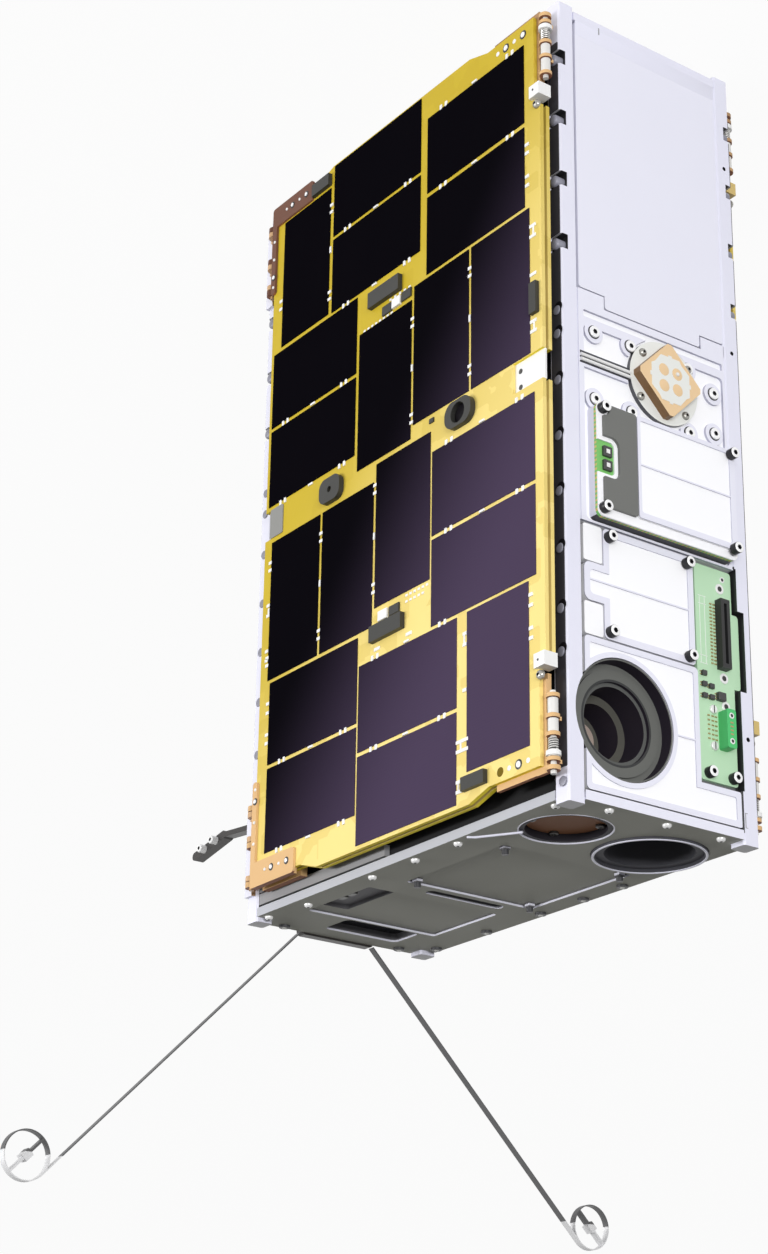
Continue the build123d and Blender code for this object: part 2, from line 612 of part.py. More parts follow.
def telescope_plate():
    """The lower cover, cut round for the telescope and stepped under the board."""
    x = (WALL_SEAT_X, COVER_FACE_X)
    foot_y = (0, RAIL_IN_Y - SEAT)
    foot_z = (TELESCOPE_PLATE_LOW, TELESCOPE_PLATE_STEP - SEAT)
    plate = plate_x(x, TELESCOPE_PLATE_Y, (TELESCOPE_PLATE_LOW, STACK), COVER_RADIUS)
    plate += plate_x(x, foot_y, foot_z, OVERCUT)
    cut = (COVER_FACE_X - COVER_POCKET, FACE_X + OVERCUT)
    inset = TELESCOPE_BORDER
    field_y = (TELESCOPE_PLATE_Y[0] + inset, TELESCOPE_PLATE_Y[1] - inset)
    field = plate_x(cut, field_y, (TELESCOPE_PLATE_LOW + inset, STACK - inset), OVERCUT)
    field += plate_x(cut, (0, foot_y[1] - inset), (foot_z[0] + inset, foot_z[1] - inset), OVERCUT)
    field -= rod_x(HOOD_Y, HOOD_Z, HOOD_CUT + HOOD_RIM, (0, FACE_X + 2 * OVERCUT))
    field -= ridge(HOOD_Z)
    return plate - field - rod_x(HOOD_Y, HOOD_Z, HOOD_CUT, (0, FACE_X + OVERCUT))


def telescope_hood():
    """The telescope's stepped barrel, closed at its inner end, with a thin liner round it."""
    rim = FACE_X - HOOD_SETBACK
    end = rim - HOOD_LENGTH
    liner = HOOD_CUT - SEAT
    flange = rim - HOOD_FLANGE_BACK
    hood = rod_x(HOOD_Y, HOOD_Z, liner, (flange, COVER_FACE_X - HOOD_LINER_SETBACK))
    hood -= rod_x(HOOD_Y, HOOD_Z, liner - HOOD_LINER, (flange + HOOD_FLANGE, FACE_X))
    hood += rod_x(HOOD_Y, HOOD_Z, HOOD_RADIUS, (end, rim))
    edges = [row[0] for row in HOOD_BORES[1:]] + [HOOD_LENGTH - HOOD_BACK]
    for (start, wall), stop in zip(HOOD_BORES, edges):
        top = rim - start + (OVERCUT if start == 0 else 0)
        hood -= rod_x(HOOD_Y, HOOD_Z, HOOD_RADIUS - wall, (rim - stop, top))
    return hood


def telescope_mirror():
    """The pale mirror at the bottom of the telescope."""
    floor = FACE_X - HOOD_SETBACK - HOOD_LENGTH + HOOD_BACK
    return rod_x(HOOD_Y, HOOD_Z, HOOD_RADIUS - MIRROR_WALL, (floor, floor + MIRROR))


def access_board():
    """The stepped circuit board beside the telescope."""
    x = (WALL_SEAT_X, WALL_SEAT_X + BOARD)
    board = plate_x(x, (BOARD_Y[0], BOARD_STEP_Y), BOARD_Z, BOARD_RADIUS)
    step_y = (BOARD_STEP_Y - BOARD_STEP_ROOT, BOARD_Y[1])
    return board + plate_x(x, step_y, BOARD_STEP_Z, BOARD_RADIUS)


def access_connectors():
    """The long slotted connector and the short one on the access board."""
    base = WALL_SEAT_X + BOARD
    floor, end, side = LONG_CONNECTOR_SLOT
    top = base + LONG_CONNECTOR
    long_one = slab((base, top), LONG_CONNECTOR_Y, LONG_CONNECTOR_Z)
    slot_y = (LONG_CONNECTOR_Y[0] + side, LONG_CONNECTOR_Y[1] - side)
    slot_z = (LONG_CONNECTOR_Z[0] + end, LONG_CONNECTOR_Z[1] - end)
    long_one -= slab((base + floor, top + OVERCUT), slot_y, slot_z)
    short_x = (base, base + SHORT_CONNECTOR)
    return [long_one, plate_x(short_x, SHORT_CONNECTOR_Y, SHORT_CONNECTOR_Z, SHORT_CONNECTOR_RADIUS)]


def small_aperture_ring():
    """The dark cup that carries the round copper shutter."""
    x, y = SMALL_APERTURE
    top = APERTURE_FACE + SMALL_APERTURE_DEPTH
    ring = rod_z(x, y, SMALL_APERTURE_RADIUS - SEAT, (APERTURE_FACE + SMALL_APERTURE_LIP, top))
    return ring - rod_z(x, y, SMALL_DISC_RADIUS + SEAT, (APERTURE_FACE, APERTURE_FACE + SMALL_CUP))


def small_aperture_disc():
    """The round copper shutter."""
    floor = APERTURE_FACE + SMALL_CUP
    return rod_z(*SMALL_APERTURE, SMALL_DISC_RADIUS, (floor - SMALL_DISC, floor))


def large_aperture_ring():
    """The wide lens barrel: a lip on the end plate and a conical bore."""
    x, y = LARGE_APERTURE
    body_radius = WALL_IN_Y - y - SEAT
    mouth = APERTURE_FACE - LARGE_LIP
    barrel = rod_z(x, y, LARGE_APERTURE_RADIUS - SEAT, (mouth, APERTURE_BACK))
    barrel += rod_z(x, y, body_radius, (APERTURE_BACK, APERTURE_BACK + LARGE_APERTURE_DEPTH))
    top = APERTURE_BACK + LARGE_APERTURE_DEPTH - WALL
    wide = body_radius - LARGE_WALL
    cone = Pos(x, y, (mouth + top) / 2) * Cone(wide, LARGE_LENS_RADIUS, top - mouth)
    groove_z = (mouth - OVERCUT, mouth + LARGE_GROOVE)
    return barrel - cone - rod_z(x, y, LARGE_APERTURE_RADIUS - LARGE_RIM, groove_z)


def large_aperture_lens():
    """The domed lens at the bottom of the wide barrel."""
    x, y = LARGE_APERTURE
    floor = APERTURE_BACK + LARGE_APERTURE_DEPTH - WALL
    dome = Pos(x, y, floor - LARGE_LENS_RISE + LARGE_LENS_BALL) * Sphere(LARGE_LENS_BALL)
    return dome & rod_z(x, y, LARGE_LENS_RADIUS - SEAT, (floor - 2 * LARGE_LENS_RISE, floor))


def avionics_block():
    """The closed-in electronics, batteries and wheels as one plain block."""
    return slab(AVIONICS_X, (-WALL_IN_Y, WALL_IN_Y), (AVIONICS_LOW, CLOSED_BACK))


def antenna_base():
    """The antenna's mounting block on the plain narrow wall."""
    y = (-ANTENNA_HALF, ANTENNA_HALF)
    block = plate_x((-FACE_X - ANTENNA_BASE, -FACE_X), y, ANTENNA_BASE_Z, ANTENNA_BASE_RADIUS)
    root_z = (APERTURE_BACK, ANTENNA_BASE_Z[1])
    return block + plate_x((-FACE_X - ANTENNA_BASE_ROOT, ANTENNA_WALL_X), y, root_z, ANTENNA_BASE_RADIUS)


def antenna(side):
    """One tape and the hoop at its end, in the plane of the narrow wall."""
    middle = -FACE_X - ANTENNA_BASE / 2
    along = (side * sin(radians(TAPE_ANGLE)), -cos(radians(TAPE_ANGLE)))
    across = (side * cos(radians(TAPE_ANGLE)), sin(radians(TAPE_ANGLE)))
    start = (side * (ANTENNA_HALF + TAPE), ANTENNA_BASE_Z[0] + TAPE)
    end = (start[0] + along[0] * TAPE_LENGTH, start[1] + along[1] * TAPE_LENGTH)
    hoop = (end[0] + across[0] * HOOP_RADIUS, end[1] + across[1] * HOOP_RADIUS)
    turn = side * (TAPE_ANGLE - 90.0)
    centre = Pos((start[0] + end[0]) / 2, (start[1] + end[1]) / 2)
    outline = centre * (Rot(0, 0, turn) * Rectangle(TAPE_LENGTH, TAPE))
    ring = Circle(HOOP_RADIUS + TAPE / 2) - Circle(HOOP_RADIUS - TAPE / 2)
    bar = Rot(0, 0, turn) * Rectangle(2 * HOOP_RADIUS, 2 * TAPE)
    outline += Pos(*hoop) * (ring + bar)
    tape = extrude(Plane.YZ.offset(middle - TAPE_WIDTH / 2) * outline, TAPE_WIDTH)
    return tape + Pos(middle, *hoop) * (Rot(turn, 0, 0) * Box(*HOOP_BLOCK))


def bar_between(a, b, width):
    """A round ended bar outline between two points."""
    run = Vector(*b) - Vector(*a)
    middle = ((a[0] + b[0]) / 2, (a[1] + b[1]) / 2)
    angle = Vector(1, 0).get_signed_angle(run, Vector(0, 0, 1))
    return Pos(*middle) * (Rot(0, 0, angle) * SlotCenterToCenter(run.length, width))


def antenna_arm(side):
    """The spent release arm beside an antenna, standing out from the narrow wall."""
    wall = ANTENNA_WALL_X
    points = [(wall - out, z) for out, z in ARM_POINTS]
    outline = Sketch()
    for a, b, width in zip(points, points[1:], ARM_WIDTHS):
        outline += bar_between(a, b, width)
    y = (side * ARM_Y - ARM_WIDTH / 2, side * ARM_Y + ARM_WIDTH / 2)
    arm = extrude(Plane.XZ.offset(-y[1]) * outline, ARM_WIDTH)
    arm -= slab((wall, wall + SIDE_Y), (y[0] - OVERCUT, y[1] + OVERCUT), (0, BODY_Z))
    foot_z = (ARM_POINTS[0][1] - ARM_FOOT_HALF, ARM_POINTS[0][1] + ARM_FOOT_HALF)
    foot_y = sorted((side * (RAIL_IN_Y - ARM_FOOT_Y), side * RAIL_IN_Y))
    return arm + slab((wall - ARM_FOOT, wall), foot_y, foot_z)


def on_wing(x, narrower):
    """X of a point of the panel's layout on a wing that is narrower at its fold edge."""
    width = WING_RIGHT - WING_LEFT
    return WING_LEFT + (x - WING_LEFT) * (width - narrower) / width


def panel_outline(cutback, hold_x, narrower):
    """The outline of a wing panel: stepped ends, corners cut back at the fold hinge, hold-down notches."""
    low = WING_LOW + CORNER_STEP
    left = [(WING_LEFT, low), (STEP_LEFT[0], low), (STEP_LEFT[1], WING_LOW)]
    right = [(STEP_RIGHT[0], WING_LOW), (STEP_RIGHT[1], low)] + cutback
    half = left + [(x - narrower, z) for x, z in right]
    points = half + [(x, 2 * WING_MIDDLE - z) for x, z in reversed(half)]
    outline = make_face(Polyline(*points, close=True))
    notches = [((hold_x - narrower, WING_RIGHT + OVERCUT), HOLD_Z)]
    notches += [((WING_LEFT - OVERCUT, HOLD_LEFT_X[0]), HOLD_LEFT_Z)]
    for x, z in notches:
        outline -= Pos((x[0] + x[1]) / 2, (z[0] + z[1]) / 2) * Rectangle(x[1] - x[0], z[1] - z[0])
    return outline


def outer_panel(narrower):
    """The outer panel board."""
    corner = [(HINGE_CORNER, WING_LOW + CORNER_STEP), (HINGE_CORNER, HINGE_TOP), (WING_RIGHT, HINGE_TOP)]
    return extrude(Plane.XZ.offset(-OUTER_BACK) * panel_outline(corner, HOLD_X[0], narrower), PANEL)


def inner_panel(narrower):
    """The inner panel board."""
    corner = [(INNER_CORNER_X, WING_LOW + CORNER_STEP), (INNER_CORNER_X, INNER_CORNER_Z)]
    corner += [(INNER_EDGE_X, INNER_CORNER_Z), (INNER_EDGE_X, HINGE_TOP), (WING_RIGHT, HINGE_TOP)]
    return extrude(Plane.XZ.offset(-INNER_BACK) * panel_outline(corner, HOLD_INNER_X, narrower), PANEL)


def outer_cells(narrower):
    """The solar cells on the outside of the outer panel."""
    y = (OUTER_FRONT - CELL, OUTER_FRONT)
    cells = []
    for left, right, low, high in OUTER_CELLS:
        cells.append(slab((on_wing(left, narrower), on_wing(right, narrower)), y, (low, high)))
    return cells


def inner_cells(narrower):
    """The solar cells on the body side of the inner panel."""
    y = (INNER_BACK, INNER_BACK + CELL)
    pitch_x = INNER_CELL_X + INNER_CELL_SPACE
    pitch_z = INNER_CELL_Z + INNER_CELL_SPACE
    cells = []
    for column in range(INNER_CELL_COLUMNS):
        for row in range(INNER_CELL_ROWS):
            x = (column - INNER_CELL_COLUMNS / 2) * pitch_x - narrower / 2
            z = WING_MIDDLE + (row - INNER_CELL_ROWS / 2) * pitch_z
            cells.append(slab((x, x + INNER_CELL_X), y, (z, z + INNER_CELL_Z)))
    return cells


def outer_blocks(narrower):
    """The connector blocks and the two bumpers on the outer panel."""
    blocks = []
    for left, right, low, high, height in OUTER_BLOCKS:
        x = (on_wing(left, narrower), on_wing(right, narrower))
        blocks.append(slab(x, (OUTER_FRONT - height, OUTER_FRONT), (low, high)))
    for x, z, width, height, radius, hole in BUMPERS:
        outline = Pos(on_wing(x, narrower), z) * (RectangleRounded(width, height, radius) - Circle(hole))
        blocks.append(extrude(Plane.XZ.offset(-OUTER_FRONT) * outline, BUMPER))
    return blocks


def drawn_in(x, narrower):
    """A span of X at the fold edge, on a wing that is narrower there."""
    return (x[0] - narrower, x[1] - narrower)


def hold_plates(narrower):
    """The hold-down plates and the hinge clips of the outer panel."""
    right_y = (OUTER_FRONT + HOLD_SETBACK, OUTER_BACK + HOLD_BACK)
    right = slab(drawn_in(HOLD_X, narrower), right_y, HOLD_Z)
    left = plate_y(HOLD_LEFT_X, (OUTER_FRONT - HOLD_LEFT, OUTER_FRONT), HOLD_LEFT_Z, HOLD_RADIUS)
    clips = []
    high_z = [z + CLIP_HIGH_RISE for z in upended(CLIP_Z)]
    for z in (CLIP_Z, high_z):
        clip = slab(drawn_in(CLIP_X, narrower), (OUTER_FRONT - CLIP, OUTER_FRONT), z)
        back_x = drawn_in((HINGE_CORNER, CLIP_X[1]), narrower)
        clips.append(clip + slab(back_x, (OUTER_FRONT, OUTER_BACK + CLIP_BACK), z))
    return [right, left] + clips


def corner_bracket(leg_low, leg_high, post_end, panel_edge, narrower):
    """An L plate over a left corner of the outer panel, with a lip round its edge."""
    front = (OUTER_FRONT - BRACKET, OUTER_FRONT)
    leg_end = leg_low if panel_edge < WING_MIDDLE else leg_high
    leg_x = (BRACKET_LEG_X[0], on_wing(BRACKET_LEG_X[1], narrower))
    bracket = plate_y(leg_x, front, (leg_low, leg_high), BRACKET_RADIUS)
    bracket += plate_y(BRACKET_POST_X, front, sorted((leg_end, post_end)), BRACKET_RADIUS)
    lip_x = (leg_x[0] + BRACKET_RADIUS, leg_x[1] - BRACKET_RADIUS)
    return bracket + slab(lip_x, (OUTER_FRONT, OUTER_BACK), sorted((leg_end, panel_edge)))


def ear(x, y, radius, arm_x, arm_y, z):
    """One hinge ear: a ring round the pin and the arm that carries it."""
    outline = Pos(x, y) * Circle(radius)
    middle = Pos((arm_x[0] + arm_x[1]) / 2, (arm_y[0] + arm_y[1]) / 2)
    outline += middle * Rectangle(arm_x[1] - arm_x[0], arm_y[1] - arm_y[0])
    outline -= Pos(x, y) * Circle(PIN_RADIUS + PIN_CLEARANCE)
    return extrude(Plane.XY.offset(z[0]) * outline, z[1] - z[0])


def outer_brackets(narrower):
    """The outer panel's corner brackets and its leaves of the fold hinges."""
    y = (OUTER_BACK, OUTER_BACK + LEAF)
    axis = FOLD_X - narrower
    leg_x = drawn_in(FOLD_LEG_X, narrower)
    post_x = drawn_in(FOLD_POST_X, narrower)
    solids = [corner_bracket(*row, narrower) for row in CORNER_BRACKETS]
    for ears, turned in both_ends(FOLD_EARS_OUTER, FOLD_SHIFT):
        leg_z = upended(FOLD_LEG_Z) if turned else FOLD_LEG_Z
        post_z = (FOLD_LEG_Z[0], FOLD_POST_TOP)
        post_z = upended(post_z) if turned else post_z
        leaf = slab(leg_x, y, leg_z) + slab(post_x, y, post_z)
        for z in ears:
            leaf += ear(axis, FOLD_Y, EAR_RADIUS, (post_x[0], axis), y, z)
        solids.append(leaf)
    return solids


def inner_brackets(narrower):
    """The inner panel's leaves of the root hinges and of the fold hinges."""
    solids = []
    axis = FOLD_X - narrower
    fold_x = drawn_in(FOLD_PLATE_X, narrower)
    fold_y = (INNER_BACK, INNER_BACK + LEAF)
    fold_arm_y = (OUTER_BACK + LEAF + LEAF_GAP, INNER_BACK + LEAF)
    for ears, turned in both_ends(FOLD_EARS_INNER, FOLD_SHIFT):
        leaf = slab(fold_x, fold_y, upended(FOLD_PLATE_Z) if turned else FOLD_PLATE_Z)
        for z in ears:
            leaf += ear(axis, FOLD_Y, EAR_RADIUS, (fold_x[1] - FOLD_ARM_ROOT, axis), fold_arm_y, z)
        solids.append(leaf)
    root_y = (INNER_BACK, INNER_BACK + ROOT_LEAF)
    arm_y = (INNER_BACK, INNER_BACK + LEAF)
    for ears, turned in both_ends(ROOT_EARS_LEAF):
        post_z = (ROOT_LEG_Z[0], ROOT_POST_TOP)
        leaf = slab(ROOT_LEG_X, root_y, upended(ROOT_LEG_Z) if turned else ROOT_LEG_Z)
        leaf += slab(ROOT_POST_X, root_y, upended(post_z) if turned else post_z)
        for z in ears:
            arm_x = (ROOT_X, ROOT_POST_X[0] + ROOT_ARM_ROOT)
            leaf += ear(ROOT_X, ROOT_Y, ROOT_EAR_RADIUS, arm_x, arm_y, z)
        solids.append(leaf)
    return solids


def root_bases():
    """The fixed leaves of the root hinges on the front rail, with their pins."""
    solids = []
    y = (-SIDE_Y - ROOT_BASE, -SIDE_Y)
    arm_x = (ROOT_BASE_X[1] - ROOT_ARM_ROOT, ROOT_X)
    for ears, turned in both_ends(ROOT_EARS_BASE):
        base = slab(ROOT_BASE_X, y, upended(ROOT_BASE_Z) if turned else ROOT_BASE_Z)
        for z in ears:
            base += ear(ROOT_X, ROOT_Y, ROOT_EAR_RADIUS, arm_x, ROOT_BASE_ARM_Y, z)
        base += rod_z(ROOT_X, ROOT_Y, PIN_RADIUS, upended(ROOT_PIN) if turned else ROOT_PIN)
        for z in ears:
            base += rod_z(ROOT_X, ROOT_Y, PIN_RADIUS + PIN_CLEARANCE, z)
        solids.append(base)
    return solids


def fold_pins(narrower):
    """The fold hinges' pins with their bushes, spring and collar."""
    solids = []
    axis = FOLD_X - narrower
    spans = [FOLD_PIN] + [(low, high) for low, high, _ in FOLD_BARRELS]
    radii = [PIN_RADIUS] + [radius for _, _, radius in FOLD_BARRELS]
    for placed, _ in both_ends(spans, FOLD_SHIFT):
        rods = [rod_z(axis, FOLD_Y, radius, z) for z, radius in zip(placed, radii)]
        pin = rods[0]
        for barrel in rods[1:]:
            pin += barrel
        solids.append(pin)
    return solids


def wing_solids(narrower):
    """Every node of a wing, as the front wing's solids."""
    return {
        "root_bases": root_bases(), "inner_panel": [inner_panel(narrower)],
        "inner_cells": inner_cells(narrower), "inner_brackets": inner_brackets(narrower),
        "outer_panel": [outer_panel(narrower)], "outer_cells": outer_cells(narrower),
        "outer_blocks": outer_blocks(narrower), "outer_brackets": outer_brackets(narrower),
        "hold_plates": hold_plates(narrower), "fold_pins": fold_pins(narrower),
    }


PARKED = Location((0, 0, BODY_Z), (0, 180, 0))


def save(name, solids):
    """Turns solids of the flight frame over and writes them as one named node."""
    listed = solids if isinstance(solids, list) else [solids]
    found = [solid for shape in listed for solid in shape.solids()]
    turned = [solid.moved(PARKED) for solid in found]
    export_step(turned[0] if len(turned) == 1 else Compound(children=turned), f"parts/{name}.step")


def main():
    """Builds every node of the satellite."""
    os.makedirs("parts", exist_ok=True)
    for end_name, side_y in (("front", -1), ("back", 1)):
        save(f"rail_{end_name}_instrument", rail(1, side_y))
        save(f"rail_{end_name}_antenna", rail(-1, side_y))
        save(f"wall_{end_name}", long_wall(side_y))
        save(f"antenna_{end_name}", antenna(side_y))
        save(f"antenna_arm_{end_name}", antenna_arm(side_y))
    bus = {
        "aperture_end_plate": aperture_end_plate, "aperture_window": end_window_glass,
        "closed_end_plate": closed_end_plate, "antenna_side_wall": antenna_side_wall,
        "instrument_wall": instrument_wall, "upper_cover": upper_cover, "middle_plate": middle_plate,
        "patch_disc": patch_disc, "patch_antenna": patch_antenna, "module_housing": module_housing,
        "module_board": module_board, "module_cover": module_cover, "module_plate": module_plate,
        "box_cover": box_cover, "box_side_plates": box_side_plates, "telescope_plate": telescope_plate,
        "telescope_hood": telescope_hood, "telescope_mirror": telescope_mirror,
        "access_board": access_board, "access_connectors": access_connectors,
        "small_aperture_ring": small_aperture_ring, "small_aperture_disc": small_aperture_disc,
        "large_aperture_ring": large_aperture_ring, "large_aperture_lens": large_aperture_lens,
        "avionics_block": avionics_block, "antenna_base": antenna_base,
    }
    for name, make in bus.items():
        save(name, make())
    for name, solids in wing_solids(0.0).items():
        save(f"front_{name}", solids)
    for name, solids in wing_solids(BACK_NARROWER).items():
        save(f"back_{name}", mirrored(solids))


main()
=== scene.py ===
"""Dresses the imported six-unit satellite: finishes, fasteners, wing details, and a plain studio.

Places are written in millimetres in the satellite's flight frame: X towards the instrument face, -Y
towards the front wing, Z away from the aperture end. parked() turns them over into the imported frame.
"""
import bpy
import json
import numpy as np
from math import cos, pi, radians, sin
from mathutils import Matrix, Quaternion, Vector


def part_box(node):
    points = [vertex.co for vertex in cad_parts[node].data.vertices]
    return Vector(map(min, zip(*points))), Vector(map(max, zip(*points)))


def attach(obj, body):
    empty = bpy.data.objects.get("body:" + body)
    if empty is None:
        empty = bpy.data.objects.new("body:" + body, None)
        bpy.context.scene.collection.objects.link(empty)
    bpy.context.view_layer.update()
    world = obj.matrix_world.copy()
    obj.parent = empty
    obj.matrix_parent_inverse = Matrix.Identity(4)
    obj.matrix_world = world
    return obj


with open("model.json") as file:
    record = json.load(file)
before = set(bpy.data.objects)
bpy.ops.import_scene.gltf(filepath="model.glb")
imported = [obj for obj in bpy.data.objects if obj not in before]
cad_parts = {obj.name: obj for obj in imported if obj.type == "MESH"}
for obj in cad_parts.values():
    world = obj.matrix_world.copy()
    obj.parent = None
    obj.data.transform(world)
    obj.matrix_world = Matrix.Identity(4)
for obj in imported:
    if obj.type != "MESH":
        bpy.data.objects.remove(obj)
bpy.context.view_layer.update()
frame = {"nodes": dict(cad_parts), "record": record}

MM = 0.001
BODY_Z = 366.0
SMOOTH_ANGLE = radians(35)
SCENE = bpy.context.scene
WINGS = ("front", "back")


def parked(points):
    """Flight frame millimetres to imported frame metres: half a turn about Y, then up by the body."""
    turned_over = np.array(points, float) * (-1, 1, -1) + (0, 0, BODY_Z)
    return turned_over * MM


def flight_box(node):
    """A node's lowest and highest corners, as flight frame millimetres."""
    low, high = np.array(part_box(node)) / MM
    return np.array((-high[0], low[1], BODY_Z - high[2])), np.array((-low[0], high[1], BODY_Z - low[2]))


# Levels of the faces that carry details, read from the frame
COVER_LEVEL = flight_box("box_cover")[1][0]
RAIL_LEVEL = flight_box("rail_back_instrument")[1][0]
PATCH_DISC_LEVEL = flight_box("patch_disc")[1][0]
PATCH_LEVEL = flight_box("patch_antenna")[1][0]
MODULE_LEVEL = flight_box("module_cover")[1][0]
MODULE_BOARD_LEVEL = flight_box("module_board")[1][0]
MODULE_FLANGE_LEVEL = flight_box("module_plate")[0][0]
BOARD_LEVEL = flight_box("access_board")[1][0]
SIDE_LEVEL = flight_box("rail_front_instrument")[0][1]
PANEL_LEVEL = flight_box("front_outer_panel")[0][1]
WALL_LEVEL = flight_box("wall_front")[0][1]
# The aperture end plate's own thickness, without its posts
END_PLATE = 4.0
END_LEVEL = flight_box("antenna_side_wall")[0][2] - END_PLATE

# The back wing is narrower than the front one, from the same root edge
WING_LEFT, WING_RIGHT = (flight_box("front_outer_panel")[end][0] for end in (0, 1))
BACK_SHARE = (flight_box("back_outer_panel")[1][0] - WING_LEFT) / (WING_RIGHT - WING_LEFT)


def grid_faces(rows, columns, loop=False):
    """Quads of a grid of points, closed across its columns, and across its rows too where loop is set."""
    row, column = np.meshgrid(np.arange(rows if loop else rows - 1), np.arange(columns), indexing="ij")
    here = row * columns
    above = (row + 1) % rows * columns
    beside = (column + 1) % columns
    return np.stack([here + column, here + beside, above + beside, above + column], -1).reshape(-1, 4)


def capped(points, rows, columns, tone):
    """A grid of points as a closed shape, with one flat face over its first row and one over its last."""
    first = np.arange(columns)[::-1]
    last = np.arange(columns) + (rows - 1) * columns
    faces = [grid_faces(rows, columns), first[None], last[None]]
    return points.reshape(-1, 3), faces, np.repeat(tone, columns)


def turned(profile, sides=20, loop=False):
    """Revolves rows of (radius, height, tone, six) about the third axis: x = r cos a, y = r sin a, z = h.

    Where six is 1 the radius is a hexagon's, r cos 30 / cos(a mod 60 - 30). A loop is a closed ring.
    """
    rows = np.array([(tuple(row) + (0.0, 0.0))[:4] for row in profile])
    angle = np.arange(sides) * 2 * pi / sides
    hexagon = np.cos(pi / 6) / np.cos(angle % (pi / 3) - pi / 6)
    radius = rows[:, :1] * (1 + rows[:, 3:] * (hexagon - 1))
    height = np.repeat(rows[:, 1:2], sides, 1)
    points = np.stack([radius * np.cos(angle), radius * np.sin(angle), height], -1)
    if loop:
        return points.reshape(-1, 3), [grid_faces(len(rows), sides, True)], np.repeat(rows[:, 2], sides)
    return capped(points, len(rows), sides, rows[:, 2])


def rounded(width, height, radius=0.0, steps=4):
    """A rectangle's outline with quarter arcs of one radius at its corners, anticlockwise."""
    if radius == 0:
        return np.array([(1, -1), (1, 1), (-1, 1), (-1, -1)]) * (width / 2, height / 2)
    angle = np.linspace(0, pi / 2, steps + 1)[None] + np.arange(4)[:, None] * pi / 2
    signs = np.array([(1, 1), (-1, 1), (-1, -1), (1, -1)])
    corners = signs * (width / 2 - radius, height / 2 - radius)
    arcs = np.stack([np.cos(angle), np.sin(angle)], -1) * radius
    return (corners[:, None] + arcs).reshape(-1, 2)


def inset(outline, distance):
    """Moves every corner of a closed outline inwards along its mitre, (n1 + n2) / (1 + n1.n2)."""
    ahead = np.roll(outline, -1, 0) - outline
    normal = np.stack([-ahead[:, 1], ahead[:, 0]], 1) / np.linalg.norm(ahead, axis=1, keepdims=True)
    before = np.roll(normal, 1, 0)
    mitre = (normal + before) / (1 + (normal * before).sum(1, keepdims=True))
    return outline + distance * mitre


def stacked(outline, levels):
    """Carries a closed outline up through levels of (inset, height, tone), and closes both ends."""
    rows = np.array([(tuple(level) + (0.0,))[:3] for level in levels])
    rings = np.stack([inset(outline, distance) for distance in rows[:, 0]])
    heights = np.repeat(rows[:, 1:2], len(outline), 1)
    points = np.concatenate([rings, heights[..., None]], -1)
    return capped(points, len(rows), len(outline), rows[:, 2])


def block(width, height, tall, radius=0.0, edge=0.12):
    """A plain block with a small bevel round its top."""
    return stacked(rounded(width, height, radius), [(0, 0), (0, tall - edge), (edge, tall)])


def tube(path, radius, sides=8, across=(0.0, 0.0, 1.0)):
    """A round section carried along a path: p + r (cos a side + sin a up), square to the path.

    The path never runs along the direction across.
    """
    path = np.array(path, float)
    run = np.gradient(path, axis=0)
    run /= np.linalg.norm(run, axis=1, keepdims=True)
    side = np.cross(run, across)
    side /= np.linalg.norm(side, axis=1, keepdims=True)
    up = np.cross(side, run)
    angle = np.arange(sides) * 2 * pi / sides
    around = np.cos(angle)[None, :, None] * side[:, None] + np.sin(angle)[None, :, None] * up[:, None]
    points = path[:, None] + radius * around
    return capped(points[:, ::-1], len(path), sides, np.zeros(len(path)))


def joined(*shapes):
    """Several shapes as one."""
    points, faces, tones, start = [], [], [], 0
    for corners, groups, tone in shapes:
        points.append(corners)
        tones.append(tone)
        faces += [group + start for group in groups]
        start += len(corners)
    return np.concatenate(points), faces, np.concatenate(tones)


# The faces of the body: the directions along a shape's own three axes, the third one outwards
FACES = {
    "instrument": ((0, 1, 0), (0, 0, 1), (1, 0, 0)),
    "front": ((1, 0, 0), (0, 0, 1), (0, -1, 0)),
    "aperture": ((1, 0, 0), (0, -1, 0), (0, 0, -1)),
}


def stood(shape, face, level, places):
    """Copies of a shape on a face of the body: place + a u + b v + c n, from a level along the outward n."""
    axes = np.array(FACES[face], float)
    outward = np.argmax(np.abs(axes[2]))
    base = np.full((len(places), 3), float(level))
    base[:, np.arange(3) != outward] = places
    points, faces, tone = shape
    spread = base[:, None] + (points @ axes)[None]
    steps = np.arange(len(places))[:, None, None] * len(points)
    groups = [(group[None] + steps).reshape(-1, group.shape[1]) for group in faces]
    return spread.reshape(-1, 3), groups, np.tile(tone, len(places))


def on_instrument(shape, level, places):
    """Copies of a shape on the instrument face."""
    return stood(shape, "instrument", level, places)


def on_board(shape, places):
    """Copies of a shape on the access board."""
    return on_instrument(shape, BOARD_LEVEL, places)


def on_panel(shape, places):
    """Copies of a shape on the front wing's outer panel."""
    return stood(shape, "front", PANEL_LEVEL, places)


def on_end(shape, places):
    """Copies of a shape on the aperture end plate."""
    return stood(shape, "aperture", END_LEVEL, places)


def scaled(shape, factors):
    """A shape with each of its axes times a factor."""
    return shape[0] * factors, *shape[1:]


def mirrored(shape, share):
    """The back wing's copy of a shape: Y and faces turned over, X drawn in to a share of the width."""
    points, faces, tone = shape
    over = points * (1, -1, 1)
    over[:, 0] = WING_LEFT + (over[:, 0] - WING_LEFT) * share
    return over, [group[:, ::-1] for group in faces], tone


